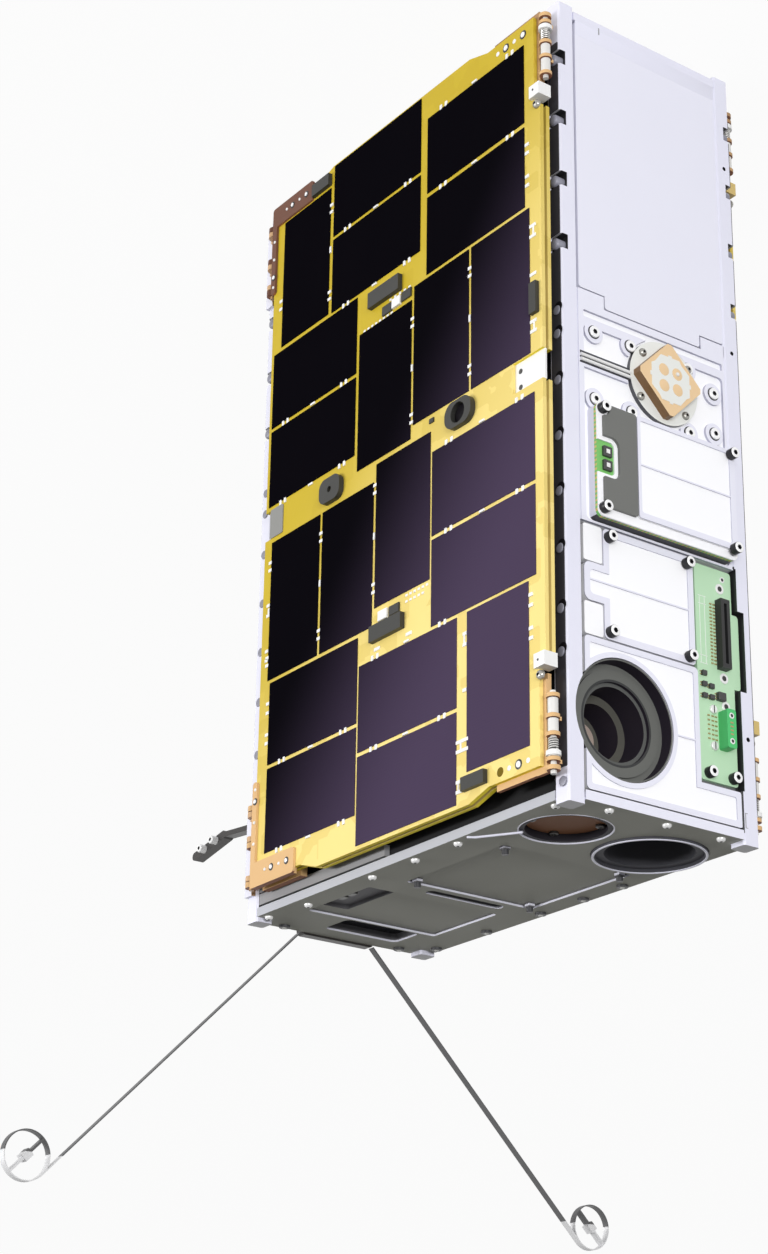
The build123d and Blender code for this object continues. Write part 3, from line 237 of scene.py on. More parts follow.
def piece(name, shape, look, body="bus"):
    """Makes one closed, smooth shaded piece that rides on a body; a look is a material and an unused slot."""
    points, faces, tone = shape
    material, slot = look
    mesh = bpy.data.meshes.new(name)
    mesh.from_pydata(parked(points).tolist(), [], [face for group in faces for face in group.tolist()])
    mesh.attributes.new("tone", "FLOAT", "POINT").data.foreach_set("value", tone)
    mesh.polygons.foreach_set("use_smooth", np.ones(len(mesh.polygons), bool))
    mesh.set_sharp_from_angle(angle=SMOOTH_ANGLE)
    mesh.materials.append(material)
    made = bpy.data.objects.new(name, mesh)
    SCENE.collection.objects.link(made)
    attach(made, body)


def wing_pieces(name, shape, look, part="outer_wing"):
    """The same piece on the front wing and, mirrored, on the back wing; part is outer_wing or bus."""
    back = mirrored(shape, 1.0 if part == "bus" else BACK_SHARE)
    for wing, made in zip(WINGS, (shape, back)):
        piece(f"{wing}_{name}", made, look, part if part == "bus" else f"{wing}_{part}")


def tree(material):
    """The material's node tree, with its shader."""
    material.use_nodes = True
    return material.node_tree, material.node_tree.nodes["Principled BSDF"]


def new_group(name, inputs, outputs):
    """An empty shader node group with value, colour or vector sockets."""
    group = bpy.data.node_groups.new(name, "ShaderNodeTree")
    for socket, kind, value in inputs:
        made = group.interface.new_socket(socket, in_out="INPUT", socket_type="NodeSocket" + kind)
        if value is not None:
            made.default_value = value
    for socket, kind in outputs:
        group.interface.new_socket(socket, in_out="OUTPUT", socket_type="NodeSocket" + kind)
    return group, group.nodes.new("NodeGroupInput"), group.nodes.new("NodeGroupOutput")


def math_node(net, operation, *values):
    """One Math node whose inputs are numbers or sockets."""
    node = net.nodes.new("ShaderNodeMath")
    node.operation = operation
    for place, value in enumerate(values):
        if isinstance(value, (int, float)):
            node.inputs[place].default_value = value
        else:
            net.links.new(value, node.inputs[place])
    return node.outputs[0]


def more(net, value, limit):
    """1 where a value is above a limit, else 0."""
    return math_node(net, "GREATER_THAN", value, limit)


def less(net, value, limit):
    """1 where a value is below a limit, else 0."""
    return math_node(net, "LESS_THAN", value, limit)


def times(net, value, factor):
    """The product of two values."""
    return math_node(net, "MULTIPLY", value, factor)


def size(net, value):
    """A value without its sign."""
    return math_node(net, "ABSOLUTE", value)


def mixed(net, factor, first, second):
    """A colour mix whose colours are tuples or sockets."""
    node = net.nodes.new("ShaderNodeMix")
    node.data_type = "RGBA"
    net.links.new(factor, node.inputs["Factor"])
    for socket, colour in ((node.inputs["A"], first), (node.inputs["B"], second)):
        if isinstance(colour, tuple):
            socket.default_value = (*colour, 1)
        else:
            net.links.new(colour, socket)
    return node.outputs["Result"]


def ramp(net, value, low, high):
    """0 at low and below, 1 at high and above, smooth between."""
    node = net.nodes.new("ShaderNodeMapRange")
    node.interpolation_type = "SMOOTHSTEP"
    node.inputs["From Min"].default_value = low
    node.inputs["From Max"].default_value = high
    net.links.new(value, node.inputs["Value"])
    return node.outputs["Result"]


def noise_at(net, coordinates, scale, detail):
    """A noise value from 0 to 1 over Object coordinates, whose scale is a socket."""
    node = net.nodes.new("ShaderNodeTexNoise")
    node.inputs["Detail"].default_value = detail
    net.links.new(scale, node.inputs["Scale"])
    net.links.new(coordinates, node.inputs["Vector"])
    return node.outputs["Fac"]


def flight_axes(net):
    """Sockets of the flight frame's X, Y and Z in millimetres, from Object coordinates."""
    place = net.nodes.new("ShaderNodeTexCoord").outputs["Object"]
    split = net.nodes.new("ShaderNodeSeparateXYZ")
    net.links.new(place, split.inputs[0])
    x = times(net, split.outputs["X"], -1 / MM)
    y = times(net, split.outputs["Y"], 1 / MM)
    z = math_node(net, "MULTIPLY_ADD", split.outputs["Z"], -1 / MM, BODY_Z)
    return x, y, z


PATCH_SHARE = 0.65
GRAIN_SHARE = 0.35


def make_skin_group():
    """Blasted, cast or painted skin: fine grain and slow patches, as one colour and one roughness."""
    inputs = [("Light", "Color", None), ("Dark", "Color", None), ("Grain", "Float", 4000.0),
              ("Patch", "Float", 30.0), ("Rough Low", "Float", 0.35), ("Rough High", "Float", 0.5)]
    outputs = [("Color", "Color"), ("Roughness", "Float"), ("Height", "Float")]
    net, start, end = new_group("blasted_skin", inputs, outputs)
    place = net.nodes.new("ShaderNodeTexCoord").outputs["Object"]
    grain = noise_at(net, place, start.outputs["Grain"], 2.0)
    patch = noise_at(net, place, start.outputs["Patch"], 3.0)
    slow = times(net, patch, PATCH_SHARE)
    both = math_node(net, "MULTIPLY_ADD", grain, GRAIN_SHARE, slow)
    net.links.new(mixed(net, both, start.outputs["Light"], start.outputs["Dark"]), end.inputs["Color"])
    spread = net.nodes.new("ShaderNodeMapRange")
    net.links.new(patch, spread.inputs["Value"])
    net.links.new(start.outputs["Rough Low"], spread.inputs["To Min"])
    net.links.new(start.outputs["Rough High"], spread.inputs["To Max"])
    net.links.new(spread.outputs["Result"], end.inputs["Roughness"])
    net.links.new(grain, end.inputs["Height"])
    return net


SKIN = make_skin_group()
GRAIN_DEPTH = 0.0002


def finish(name, light, dark, metallic=0.0, rough=(0.35, 0.5), grain=3000.0, patch=25.0, bump=0.08,
           specular=0.5, shade=None):
    """A finish of two close colours with grain, uneven gloss and a shallow bump.

    shade(net, colour) may lay further colours over the skin and returns the colour to use.
    """
    material = bpy.data.materials.new(name)
    net, shader = tree(material)
    skin = net.nodes.new("ShaderNodeGroup")
    skin.node_tree = SKIN
    skin.inputs["Light"].default_value = (*light, 1)
    skin.inputs["Dark"].default_value = (*dark, 1)
    skin.inputs["Grain"].default_value = grain
    skin.inputs["Patch"].default_value = patch
    skin.inputs["Rough Low"].default_value = rough[0]
    skin.inputs["Rough High"].default_value = rough[1]
    dent = net.nodes.new("ShaderNodeBump")
    dent.inputs["Strength"].default_value = bump
    dent.inputs["Distance"].default_value = GRAIN_DEPTH
    net.links.new(skin.outputs["Height"], dent.inputs["Height"])
    colour = skin.outputs["Color"]
    if shade:
        colour = shade(net, colour)
    net.links.new(colour, shader.inputs["Base Color"])
    net.links.new(skin.outputs["Roughness"], shader.inputs["Roughness"])
    net.links.new(dent.outputs["Normal"], shader.inputs["Normal"])
    shader.inputs["Metallic"].default_value = metallic
    shader.inputs["Specular IOR Level"].default_value = specular
    return material


def toned(second):
    """Lays a second colour where the piece's own tone attribute is 1."""
    def shade(net, colour):
        tone = net.nodes.new("ShaderNodeAttribute")
        tone.attribute_name = "tone"
        return mixed(net, tone.outputs["Fac"], colour, second)
    return shade


# How far a normal has to point along an axis for a face to count as facing it
FACE_TURN = 0.6


def normal_along(net, axis):
    """How far the face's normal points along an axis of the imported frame, from -1 to 1."""
    split = net.nodes.new("ShaderNodeSeparateXYZ")
    net.links.new(net.nodes.new("ShaderNodeNewGeometry").outputs["True Normal"], split.inputs[0])
    return split.outputs[axis]


def on_walls(net, axis):
    """1 on the walls that don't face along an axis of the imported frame, else 0."""
    return less(net, size(net, normal_along(net, axis)), FACE_TURN)


def looks_down(net):
    """1 on the faces that look towards the aperture end, else 0."""
    return more(net, normal_along(net, "Z"), FACE_TURN)


def facing(axis, second):
    """Lays a second colour on the walls that don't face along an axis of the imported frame."""
    def shade(net, colour):
        return mixed(net, on_walls(net, axis), colour, second)
    return shade


FIELD_WHITE = (0.90, 0.90, 0.93)
# Painted shade: grey on the walls of the shallow fields
FIELD_WALL_SHADE = (0.46, 0.46, 0.57)
LINE_MARGIN = 0.04


def fielded(top, floor):
    """White floors in a cover's shallow fields, below a top level, and painted shade in grey on their walls.
    """
    def shade(net, colour):
        x, _, _ = flight_axes(net)
        below_top = less(net, x, top - LINE_MARGIN)
        above_floor = more(net, x, floor + LINE_MARGIN)
        wall_shaded = mixed(net, above_floor, FIELD_WHITE, FIELD_WALL_SHADE)
        return mixed(net, below_top, colour, wall_shaded)
    return shade


def painted_sheen(pale, slope, start, stop):
    """Lays a second colour over the skin as a painted sheen, growing along X and down Z, from start to stop
    of x - slope z.
    """
    def shade(net, colour):
        x, _, z = flight_axes(net)
        along = math_node(net, "MULTIPLY_ADD", z, -slope, x)
        return mixed(net, ramp(net, along, start, stop), colour, pale)
    return shade


TRACK = 11.0
TRACK_SHADE = (0.44, 0.31, 0.018)
TRACK_LIMIT = 0.6
TRACK_SHARE = 0.22
# Painted sheen: the gold grows paler along X and down Z; painted light gives a richer gold on faces towards
# the aperture end
GOLD_SHEEN = (0.80, 0.64, 0.23)
GOLD_SHEEN_SWEEP = (0.9, -240.0, -40.0)
GOLD_UNDERSIDE_LIGHT = (0.92, 0.74, 0.05)


def gold_tracks_and_sheen(net, colour):
    """Faint darker copper areas under the gold, in square cells, over a painted sheen; downward faces get
    painted light.
    """
    with_sheen = painted_sheen(GOLD_SHEEN, *GOLD_SHEEN_SWEEP)(net, colour)
    cells = net.nodes.new("ShaderNodeTexVoronoi")
    cells.distance = "CHEBYCHEV"
    cells.inputs["Scale"].default_value = 1 / (TRACK * MM)
    net.links.new(net.nodes.new("ShaderNodeTexCoord").outputs["Object"], cells.inputs["Vector"])
    split = net.nodes.new("ShaderNodeSeparateColor")
    net.links.new(cells.outputs["Color"], split.inputs[0])
    some = more(net, split.outputs[0], TRACK_LIMIT)
    faint = times(net, some, TRACK_SHARE)
    tracked = mixed(net, faint, with_sheen, TRACK_SHADE)
    return mixed(net, looks_down(net), tracked, GOLD_UNDERSIDE_LIGHT)


FINGER = 1.3
FINGER_SHADE = (0.020, 0.016, 0.024)
FINGER_SHARE = 0.10
FINGER_EDGE = 0.8
# Painted reflection: the cells go from black to dark violet along X and down Z
CELL_SHEEN_VIOLET = (0.062, 0.044, 0.082)
CELL_SHEEN_SWEEP = (0.75, -150.0, 10.0)


def cell_fingers_and_sheen(net, colour):
    """Fine collector lines across a cell, over a painted reflection that sweeps from black to dark violet."""
    violet = painted_sheen(CELL_SHEEN_VIOLET, *CELL_SHEEN_SWEEP)(net, colour)
    _, _, z = flight_axes(net)
    wave = math_node(net, "SINE", times(net, z, 2 * pi / FINGER))
    line = times(net, ramp(net, wave, FINGER_EDGE, 1.0), FINGER_SHARE)
    return mixed(net, line, violet, FINGER_SHADE)


def below(axis, limit, second):
    """Lays a second colour below a limit along a flight axis: 0 for X, 1 for Y, 2 for Z."""
    def shade(net, colour):
        return mixed(net, less(net, flight_axes(net)[axis], limit), colour, second)
    return shade


# Pale hoops at the ends of the grey tapes
HOOP_TOP = -113.5
HOOP_PALE = (0.62, 0.62, 0.63)
# The access board's short connector is green, the long one black
GREEN_TOP = 60.0
CONNECTOR_GREEN = (0.075, 0.48, 0.155)
PAD_PITCH = 2.0
PAD_TAN = (0.62, 0.45, 0.14)


def board_edge_pads(net, colour):
    """Tan pads at an even pitch along a board's edge walls."""
    _, y, z = flight_axes(net)
    place = math_node(net, "ADD", y, z)
    wave = math_node(net, "SINE", times(net, place, 2 * pi / PAD_PITCH))
    padded = mixed(net, more(net, wave, 0.0), colour, PAD_TAN)
    return mixed(net, on_walls(net, "X"), colour, padded)


def within(net, *tests):
    """1 where every test of (operation, value, limit) holds, else 0."""
    kept = math_node(net, *tests[0])
    for test in tests[1:]:
        kept = times(net, kept, math_node(net, *test))
    return kept


# Painted shade: black inside the rails' notches, holes and pockets, grey on faces towards the aperture end
NOTCH_SHADE = (0.020, 0.020, 0.022)
RAIL_END_SHADE = (0.40, 0.40, 0.42)
RAIL_SIDE_Y = 42.2
RAIL_END_DEPTH = 5.0
RAIL_SKIN_X = 0.15
RAIL_SKIN_Y = 0.85
BOARD_TOP = 122.0


def shaded_inside(net, colour):
    """Painted shade: black in a rail's notches and holes and beside the access board, short of its ends, and
    grey on faces towards the aperture end.
    """
    x, y, z = flight_axes(net)
    across = size(net, y)
    notch = more(net, across, RAIL_SIDE_Y)
    board = less(net, z, BOARD_TOP)
    inside = within(net, ("LESS_THAN", size(net, x), RAIL_LEVEL - RAIL_SKIN_X),
                    ("LESS_THAN", across, -SIDE_LEVEL - RAIL_SKIN_Y), ("MAXIMUM", notch, board),
                    ("GREATER_THAN", z, RAIL_END_DEPTH), ("LESS_THAN", z, BODY_Z - RAIL_END_DEPTH))
    end_shaded = mixed(net, looks_down(net), colour, RAIL_END_SHADE)
    return mixed(net, inside, end_shaded, NOTCH_SHADE)


LIP_DEPTH = 0.9
POCKET_DEPTH = 2.0
POST_STANDS = 0.05
PLATE_EDGE = 0.5
# Painted light and shade on the end plate: lit lips, grey edge walls and black deep pockets; the posts are
# drawn in the same black
LIT_WALL = (0.74, 0.74, 0.84)
EDGE_SHADE = (0.44, 0.45, 0.49)
POCKET_SHADE_AND_POSTS = (0.13, 0.128, 0.138)


def end_plate_light_and_shade(net, colour):
    """Painted highlight on the lips round the end plate's pockets, painted shade grey on its edge walls and
    black deeper in, and dark posts.
    """
    x, y, z = flight_axes(net)
    walls = on_walls(net, "Z")
    side_y = -SIDE_LEVEL - PLATE_EDGE
    inside = within(net, ("LESS_THAN", size(net, x), RAIL_LEVEL - PLATE_EDGE),
                    ("LESS_THAN", size(net, y), side_y))
    deep = times(net, times(net, inside, walls), more(net, z, END_LEVEL + LIP_DEPTH))
    floor = times(net, inside, more(net, z, END_LEVEL + POCKET_DEPTH))
    post = less(net, z, END_LEVEL - POST_STANDS)
    black = math_node(net, "MAXIMUM", math_node(net, "MAXIMUM", deep, floor), post)
    edge = more(net, size(net, y), side_y)
    lit_lips = mixed(net, walls, colour, mixed(net, edge, LIT_WALL, EDGE_SHADE))
    return mixed(net, black, lit_lips, POCKET_SHADE_AND_POSTS)


SPRING_SPANS = [(18.8, 24.0), (342.6, 347.8)]
# Painted shade on the pins under the springs
SPRING_SHADE = (0.05, 0.05, 0.05)


def shade_under_springs(net, colour):
    """Painted shade: the pins are dark where the springs coil round them."""
    _, _, z = flight_axes(net)
    for low, high in SPRING_SPANS:
        under = within(net, ("GREATER_THAN", z, low), ("LESS_THAN", z, high))
        colour = mixed(net, under, colour, SPRING_SHADE)
    return colour


BASE_TOP = 52.1
ROOT_EAR_X = -106.9
BASE_PALE = (0.72, 0.72, 0.82)


def pale_bases(net, colour):
    """The root hinges' base plates have the rails' finish; only their ears are tan."""
    x, y, _ = flight_axes(net)
    plate = within(net, ("LESS_THAN", size(net, y), BASE_TOP), ("LESS_THAN", x, ROOT_EAR_X))
    return mixed(net, plate, colour, BASE_PALE)


# The brackets' tan where lit: a painted highlight on the brackets and their hinge ears, and the root bases'
# colour; painted brown shade below
LIT_TAN = (0.64, 0.41, 0.20)
FOLD_EAR_X = 109.2
ROOT_LEAF_X = -107.5
BRACKET_UNDER_SHADE = (0.30, 0.13, 0.075)
BRACKET_SHEEN_SWEEP = (0.9, -300.0, -120.0)


def bracket_sheen_and_shade(net, colour):
    """Painted highlight: brackets go from brown to lit tan along X and down Z, and the hinge ears past the
    panel's edges are lit tan; downward faces get painted brown shade.
    """
    x, _, _ = flight_axes(net)
    lit = painted_sheen(LIT_TAN, *BRACKET_SHEEN_SWEEP)(net, colour)
    ears = math_node(net, "MAXIMUM", more(net, x, FOLD_EAR_X), less(net, x, ROOT_LEAF_X))
    ears_lit = mixed(net, ears, lit, LIT_TAN)
    return mixed(net, looks_down(net), ears_lit, BRACKET_UNDER_SHADE)


HOOD_LOW, HOOD_HIGH = flight_box("telescope_hood")
RING_EDGE = 18.2
RING_DARK = (0.045, 0.046, 0.047)
STEP_GREY = (0.095, 0.098, 0.095)
STEP_BROWN = (0.085, 0.083, 0.072)
BORE_VIOLET = (0.026, 0.021, 0.031)
HOOD_DEPTH = 22.0
STEP_START = 1.0
DEEP_START = 6.0


def hood_rings(net, colour):
    """Black walls, a darker inner ring on the hood's grey rim and brownish steps deeper in."""
    x, y, z = flight_axes(net)
    off_y = math_node(net, "SUBTRACT", y, (HOOD_LOW[1] + HOOD_HIGH[1]) / 2)
    off_z = math_node(net, "SUBTRACT", z, (HOOD_LOW[2] + HOOD_HIGH[2]) / 2)
    square = math_node(net, "MULTIPLY_ADD", off_y, off_y, times(net, off_z, off_z))
    inner = less(net, square, RING_EDGE ** 2)
    ringed = mixed(net, inner, colour, RING_DARK)
    rim = flight_box("telescope_mirror")[1][0] + HOOD_DEPTH
    step = less(net, x, rim - STEP_START)
    deep = less(net, x, rim - DEEP_START)
    stepped = mixed(net, deep, mixed(net, step, ringed, STEP_GREY), STEP_BROWN)
    return mixed(net, on_walls(net, "X"), stepped, BORE_VIOLET)


def dark_under(second):
    """Lays a second colour on the faces that look towards the aperture end."""
    def shade(net, colour):
        return mixed(net, looks_down(net), colour, second)
    return shade


# The hold plate at the root edge is drawn grey, the others white
HOLD_GREY_X = -60.0
HOLD_GREY = (0.21, 0.21, 0.20)
# Painted shade on the side walls of the patch disc and of the patch ceramic
DISC_EDGE_SHADE = (0.06, 0.06, 0.07)
CERAMIC_EDGE_SHADE = (0.20, 0.10, 0.035)
MODULE_SHADOW = (0.035, 0.034, 0.042)
# Pairs of skin colours that several finishes share, some with their metal and roughness
WHITE_PAINT = ((0.75, 0.75, 0.85), (0.72, 0.72, 0.82), 0.0, (0.45, 0.6))
PALE_METAL = ((0.74, 0.74, 0.85), (0.69, 0.69, 0.80), 0.05)
PLAIN_WHITE = ((0.80, 0.80, 0.80), (0.74, 0.74, 0.74))
BRIGHT_STEEL = ((0.72, 0.71, 0.69), (0.62, 0.61, 0.59))
WARM_GREY = ((0.76, 0.77, 0.74), (0.70, 0.71, 0.69))


def paint(*colours, **options):
    """The colours and options of a finish that is named after its slot."""
    return colours, options


SKINS = {
    "pale_aluminium": paint(*PALE_METAL),
    "white_cover": paint(*WHITE_PAINT),
    # The end plate's grey is partly painted shade: it is drawn darker than its pale metal
    "dark_end_plate": paint((0.37, 0.37, 0.33), (0.33, 0.33, 0.295), 0.0, (0.5, 0.65),
                            specular=0.2, shade=end_plate_light_and_shade),
    "inner_wall": paint((0.14, 0.14, 0.15), (0.11, 0.11, 0.12)),
    "black_glass": paint((0.012, 0.011, 0.016), (0.008, 0.008, 0.011), 0.0, (0.08, 0.16), bump=0,
                         specular=0.3),
    "grey_plate": paint((0.135, 0.138, 0.130), (0.115, 0.118, 0.112)),
    "mirror": paint((0.72, 0.58, 0.50), (0.66, 0.53, 0.46), 0.5, (0.2, 0.3)),
    "dark_metal": paint((0.030, 0.026, 0.024), (0.020, 0.018, 0.017), 0.3, (0.3, 0.45)),
    "copper": paint((0.25, 0.115, 0.060), (0.23, 0.105, 0.055), 0.0, (0.5, 0.6), specular=0.1),
    "patch_ceramic": paint((0.76, 0.54, 0.31), (0.72, 0.51, 0.29),
                           shade=facing("X", CERAMIC_EDGE_SHADE)),
    "patch_ground": paint(*WARM_GREY, 0.1),
    "green_board": paint((0.47, 0.69, 0.47), (0.43, 0.65, 0.43)),
    "connector_plastic": paint((0.036, 0.036, 0.033), (0.026, 0.026, 0.024), specular=0.3),
    "antenna_steel": paint((0.10, 0.10, 0.102), (0.075, 0.075, 0.078), 0.3, (0.35, 0.5),
                           shade=below(2, HOOP_TOP, HOOP_PALE)),
    "gold_board": paint((0.53, 0.39, 0.026), (0.49, 0.36, 0.022), 0.0, (0.4, 0.5),
                        specular=0.12, shade=gold_tracks_and_sheen),
    "solar_cell": paint((0.0035, 0.003, 0.0045), (0.0025, 0.0022, 0.0035), 0.0, (0.35, 0.45),
                        bump=0.03, specular=0.0, shade=cell_fingers_and_sheen),
    "tan_bracket": paint((0.15, 0.068, 0.045), (0.13, 0.059, 0.040), 0.0, specular=0.1,
                         shade=bracket_sheen_and_shade),
    "pale_fitting": paint(*PLAIN_WHITE),
    "hinge_steel": paint(*BRIGHT_STEEL, 0.3, (0.25, 0.4)),
}
FINISH = {slot: finish(slot, *colours, **options) for slot, (colours, options) in SKINS.items()}

COVER_POCKET = 0.5
MIDDLE_POCKET = 1.2
NODE_FINISH = {
    "middle_plate": finish("white_frame", *WHITE_PAINT,
                           shade=fielded(COVER_LEVEL, COVER_LEVEL - MIDDLE_POCKET)),
    "module_cover": finish("white_module", *WHITE_PAINT,
                           shade=fielded(MODULE_LEVEL, MODULE_LEVEL - COVER_POCKET)),
    "telescope_hood": finish("telescope_grey", (0.135, 0.138, 0.130), (0.120, 0.123, 0.116), 0.0,
                             (0.5, 0.6), specular=0.08, shade=hood_rings),
    "large_aperture_ring": finish("lens_barrel_black", (0.070, 0.070, 0.080), (0.055, 0.055, 0.065), 0.0,
                                  (0.5, 0.6), specular=0.1),
    "module_housing": finish("housing_white", *WHITE_PAINT, shade=dark_under(MODULE_SHADOW)),
    "front_hold_plates": finish("hold_plate_white", *PLAIN_WHITE, shade=below(0, HOLD_GREY_X, HOLD_GREY)),
    "back_hold_plates": finish("hold_plate_gold", (0.62, 0.46, 0.16), (0.56, 0.41, 0.14)),
    "access_connectors": finish("connector_pair", (0.030, 0.030, 0.031), (0.020, 0.020, 0.021),
                                specular=0.3, shade=below(2, GREEN_TOP, CONNECTOR_GREEN)),
    "module_board": finish("module_board_edge", (0.18, 0.50, 0.13), (0.16, 0.46, 0.11),
                           shade=board_edge_pads),
}
rail_finish = finish("rail_aluminium", *PALE_METAL, shade=shaded_inside)
for end in ("front_instrument", "front_antenna", "back_instrument", "back_antenna"):
    NODE_FINISH[f"rail_{end}"] = rail_finish
pin_finish = finish("hinge_pins", *BRIGHT_STEEL, 0.2, (0.25, 0.4), shade=shade_under_springs)
base_finish = finish("root_bases", LIT_TAN, (0.50, 0.30, 0.16), shade=pale_bases)
# Painted shade: the wide walls under the wings are drawn near black
wall_shade_finish = finish("wide_wall_shade", (0.024, 0.024, 0.025), (0.018, 0.018, 0.019), specular=0.05)
for wing in WINGS:
    NODE_FINISH[f"wall_{wing}"] = wall_shade_finish
    NODE_FINISH[f"{wing}_fold_pins"] = pin_finish
    NODE_FINISH[f"{wing}_root_bases"] = base_finish
white_box = finish("white_box", *WHITE_PAINT, shade=fielded(COVER_LEVEL, COVER_LEVEL - COVER_POCKET))
NODE_FINISH["box_cover"] = white_box
NODE_FINISH["box_side_plates"] = finish("side_plate_white", FIELD_WHITE, (0.86, 0.86, 0.89), 0.0,
                                        (0.45, 0.6))
NODE_FINISH["patch_disc"] = finish("patch_disc", *WARM_GREY, shade=facing("X", DISC_EDGE_SHADE))
NODE_FINISH["small_aperture_ring"] = finish("shutter_cup", (0.03, 0.028, 0.034), (0.024, 0.022, 0.028),
                                            specular=0.05)
NODE_FINISH["telescope_plate"] = white_box

for subpart in frame["record"]["subparts"]:
    node = frame["nodes"][subpart["node"]]
    node.data.materials.clear()
    node.data.materials.append(NODE_FINISH.get(subpart["node"], FINISH[subpart["material_slot"]]))

LOOK = {slot: (material, slot) for slot, material in FINISH.items()}


def trim(slot, *colours, **options):
    """A look for small parts: a finish of its own, with the slot it belongs to."""
    return finish(*colours, **options), slot


BLACK_SCREW = trim("dark_metal", "black_cap_screw", (0.014, 0.014, 0.016), (0.010, 0.010, 0.012),
                   0.2, (0.3, 0.4), shade=toned((0.85, 0.85, 0.86)))
BLACK = trim("black_glass", "flat_black", (0.009, 0.008, 0.010), (0.007, 0.006, 0.008), specular=0.05)
DARK_BAR = trim("inner_wall", "dark_rail_strip", (0.035, 0.034, 0.042), (0.026, 0.025, 0.032), 0.0,
                (0.5, 0.6))
RAIL_BUTTON = trim("pale_aluminium", "rail_button", (0.26, 0.26, 0.31), (0.20, 0.20, 0.25), 0.1, (0.4, 0.5))
# Painted shade of a hole in the gold board, drawn as a dark disc
GOLD_HOLE_SHADE = trim("gold_board", "dark_gold_hole", (0.17, 0.115, 0.010), (0.14, 0.095, 0.008), specular=0.05)
BRIGHT_SCREW = trim("hinge_steel", "bright_screw", (0.80, 0.80, 0.80), (0.72, 0.72, 0.72), 0.2,
                    (0.25, 0.35), shade=toned((0.03, 0.03, 0.03)))
CLIP_SCREW = trim("hinge_steel", "clip_screw", (0.40, 0.39, 0.36), (0.28, 0.27, 0.25), 0.6,
                  (0.2, 0.35), shade=toned((0.02, 0.02, 0.02)))
GOLD_PAD = trim("copper", "gold_pad", (0.46, 0.34, 0.16), (0.40, 0.29, 0.13), 0.5, (0.3, 0.4))
SENSOR = trim("connector_plastic", "sensor_chip", (0.045, 0.045, 0.045), (0.032, 0.032, 0.032),
              shade=toned((0.85, 0.85, 0.85)))
DARK_BUSH = trim("dark_metal", "dark_bush", (0.045, 0.045, 0.05), (0.032, 0.032, 0.036),
                 shade=toned((0.5, 0.5, 0.48)))
# Painted shade: grey for the pale wall frames and for thin slot marks
FRAME_SHADE_GREY = trim("inner_wall", "wall_frame_grey", (0.30, 0.30, 0.31), (0.25, 0.25, 0.26), specular=0.2)
PRINT = trim("green_board", "board_print", (0.80, 0.85, 0.80), (0.72, 0.78, 0.72))

# Screw heads as rows of (radius, height, tone, six)
CAP_SCREW = turned([(2.45, 0), (2.45, 3.2), (2.36, 3.34), (2.34, 3.36, 1), (2.1, 3.5, 1), (1.2, 3.5, 1, 1),
                    (1.18, 3.47, 0, 1), (1.18, 1.4, 0, 1)], 24)
BOSS_SCREW = turned([(3.0, 0), (3.0, 0.3), (2.6, 0.3), (2.58, 0.33, 1), (2.58, 0.9, 1), (2.3, 1.1, 1),
                     (1.2, 1.1, 1, 1), (1.18, 1.07, 0, 1), (1.18, 0.2, 0, 1)], 24)
BUTTON_HEAD = turned([(1.9, 0), (1.9, 0.4), (1.7, 0.95), (1.25, 1.35), (0.7, 1.5), (0.66, 1.48, 1, 1),
                      (0.66, 0.9, 1, 1)], 24)
RAIL_HEAD = turned([(2.7, 0), (2.7, 0.5), (2.45, 0.95), (1.8, 1.2), (0.9, 1.3)], 24)
EYE = turned([(2.1, 0), (2.1, 0.12), (2.0, 0.18), (1.35, 0.18), (1.3, 0.2, 1), (1.25, 0.4, 1),
              (0.9, 0.5, 1)], 24)
SMALL_EYE = turned([(1.1, 0), (1.1, 0.2), (0.9, 0.3)], 20)
WHITE_EYE = turned([(2.3, 0), (2.3, 0.2), (2.2, 0.3), (1.2, 0.3), (1.16, 0.27, 1), (1.16, 0.05, 1)], 24)
SMALL_WHITE_EYE = turned([(1.3, 0), (1.3, 0.15), (1.2, 0.22), (0.75, 0.22), (0.72, 0.2, 1),
                          (0.72, 0.04, 1)], 20)


def instrument_face():
    """Screws, seams, wires, patch electrode, sensors and the access board's parts."""
    stack = flight_box("telescope_plate")[1][2]
    flange_screws = [(-33.6, 170.3), (-33.6, 125.5)]
    module_screws = [(36.4, 169.9), (36.4, 126.0)]
    box_screws = [(-27.2, 115.9), (14.9, 115.9), (-27.2, 74.6), (14.9, 74.6)]
    board_screws = [(25.5, 27.6), (38.7, 27.6)]
    module_heads = joined(on_instrument(CAP_SCREW, MODULE_LEVEL, module_screws),
                          on_instrument(CAP_SCREW, MODULE_FLANGE_LEVEL, flange_screws))
    piece("module_cap_screws", module_heads, BLACK_SCREW)
    piece("box_cap_screws", on_instrument(CAP_SCREW, COVER_LEVEL, box_screws), BLACK_SCREW)
    piece("board_cap_screws", on_instrument(CAP_SCREW, BOARD_LEVEL, board_screws), BLACK_SCREW)
    bosses = [(-32.9, 137.2), (-13.0, 137.2), (19.4, 137.2), (34.0, 130.0), (34.0, 110.8), (-32.9, 106.0),
              (-13.0, 106.2), (19.4, 106.7)]
    boss_places = [(y, z + stack) for y, z in bosses]
    piece("boss_screws", on_instrument(BOSS_SCREW, COVER_LEVEL, boss_places), BLACK_SCREW)
    disc_places = [(-6.8, 206.9), (-8.6, 185.6), (16.6, 184.4), (18.6, 207.0)]
    piece("patch_screws", on_instrument(BUTTON_HEAD, PATCH_DISC_LEVEL, disc_places), CLIP_SCREW)
    seam_strips()
    patch_top()
    feed_wires()
    sensors()
    access_board_parts()


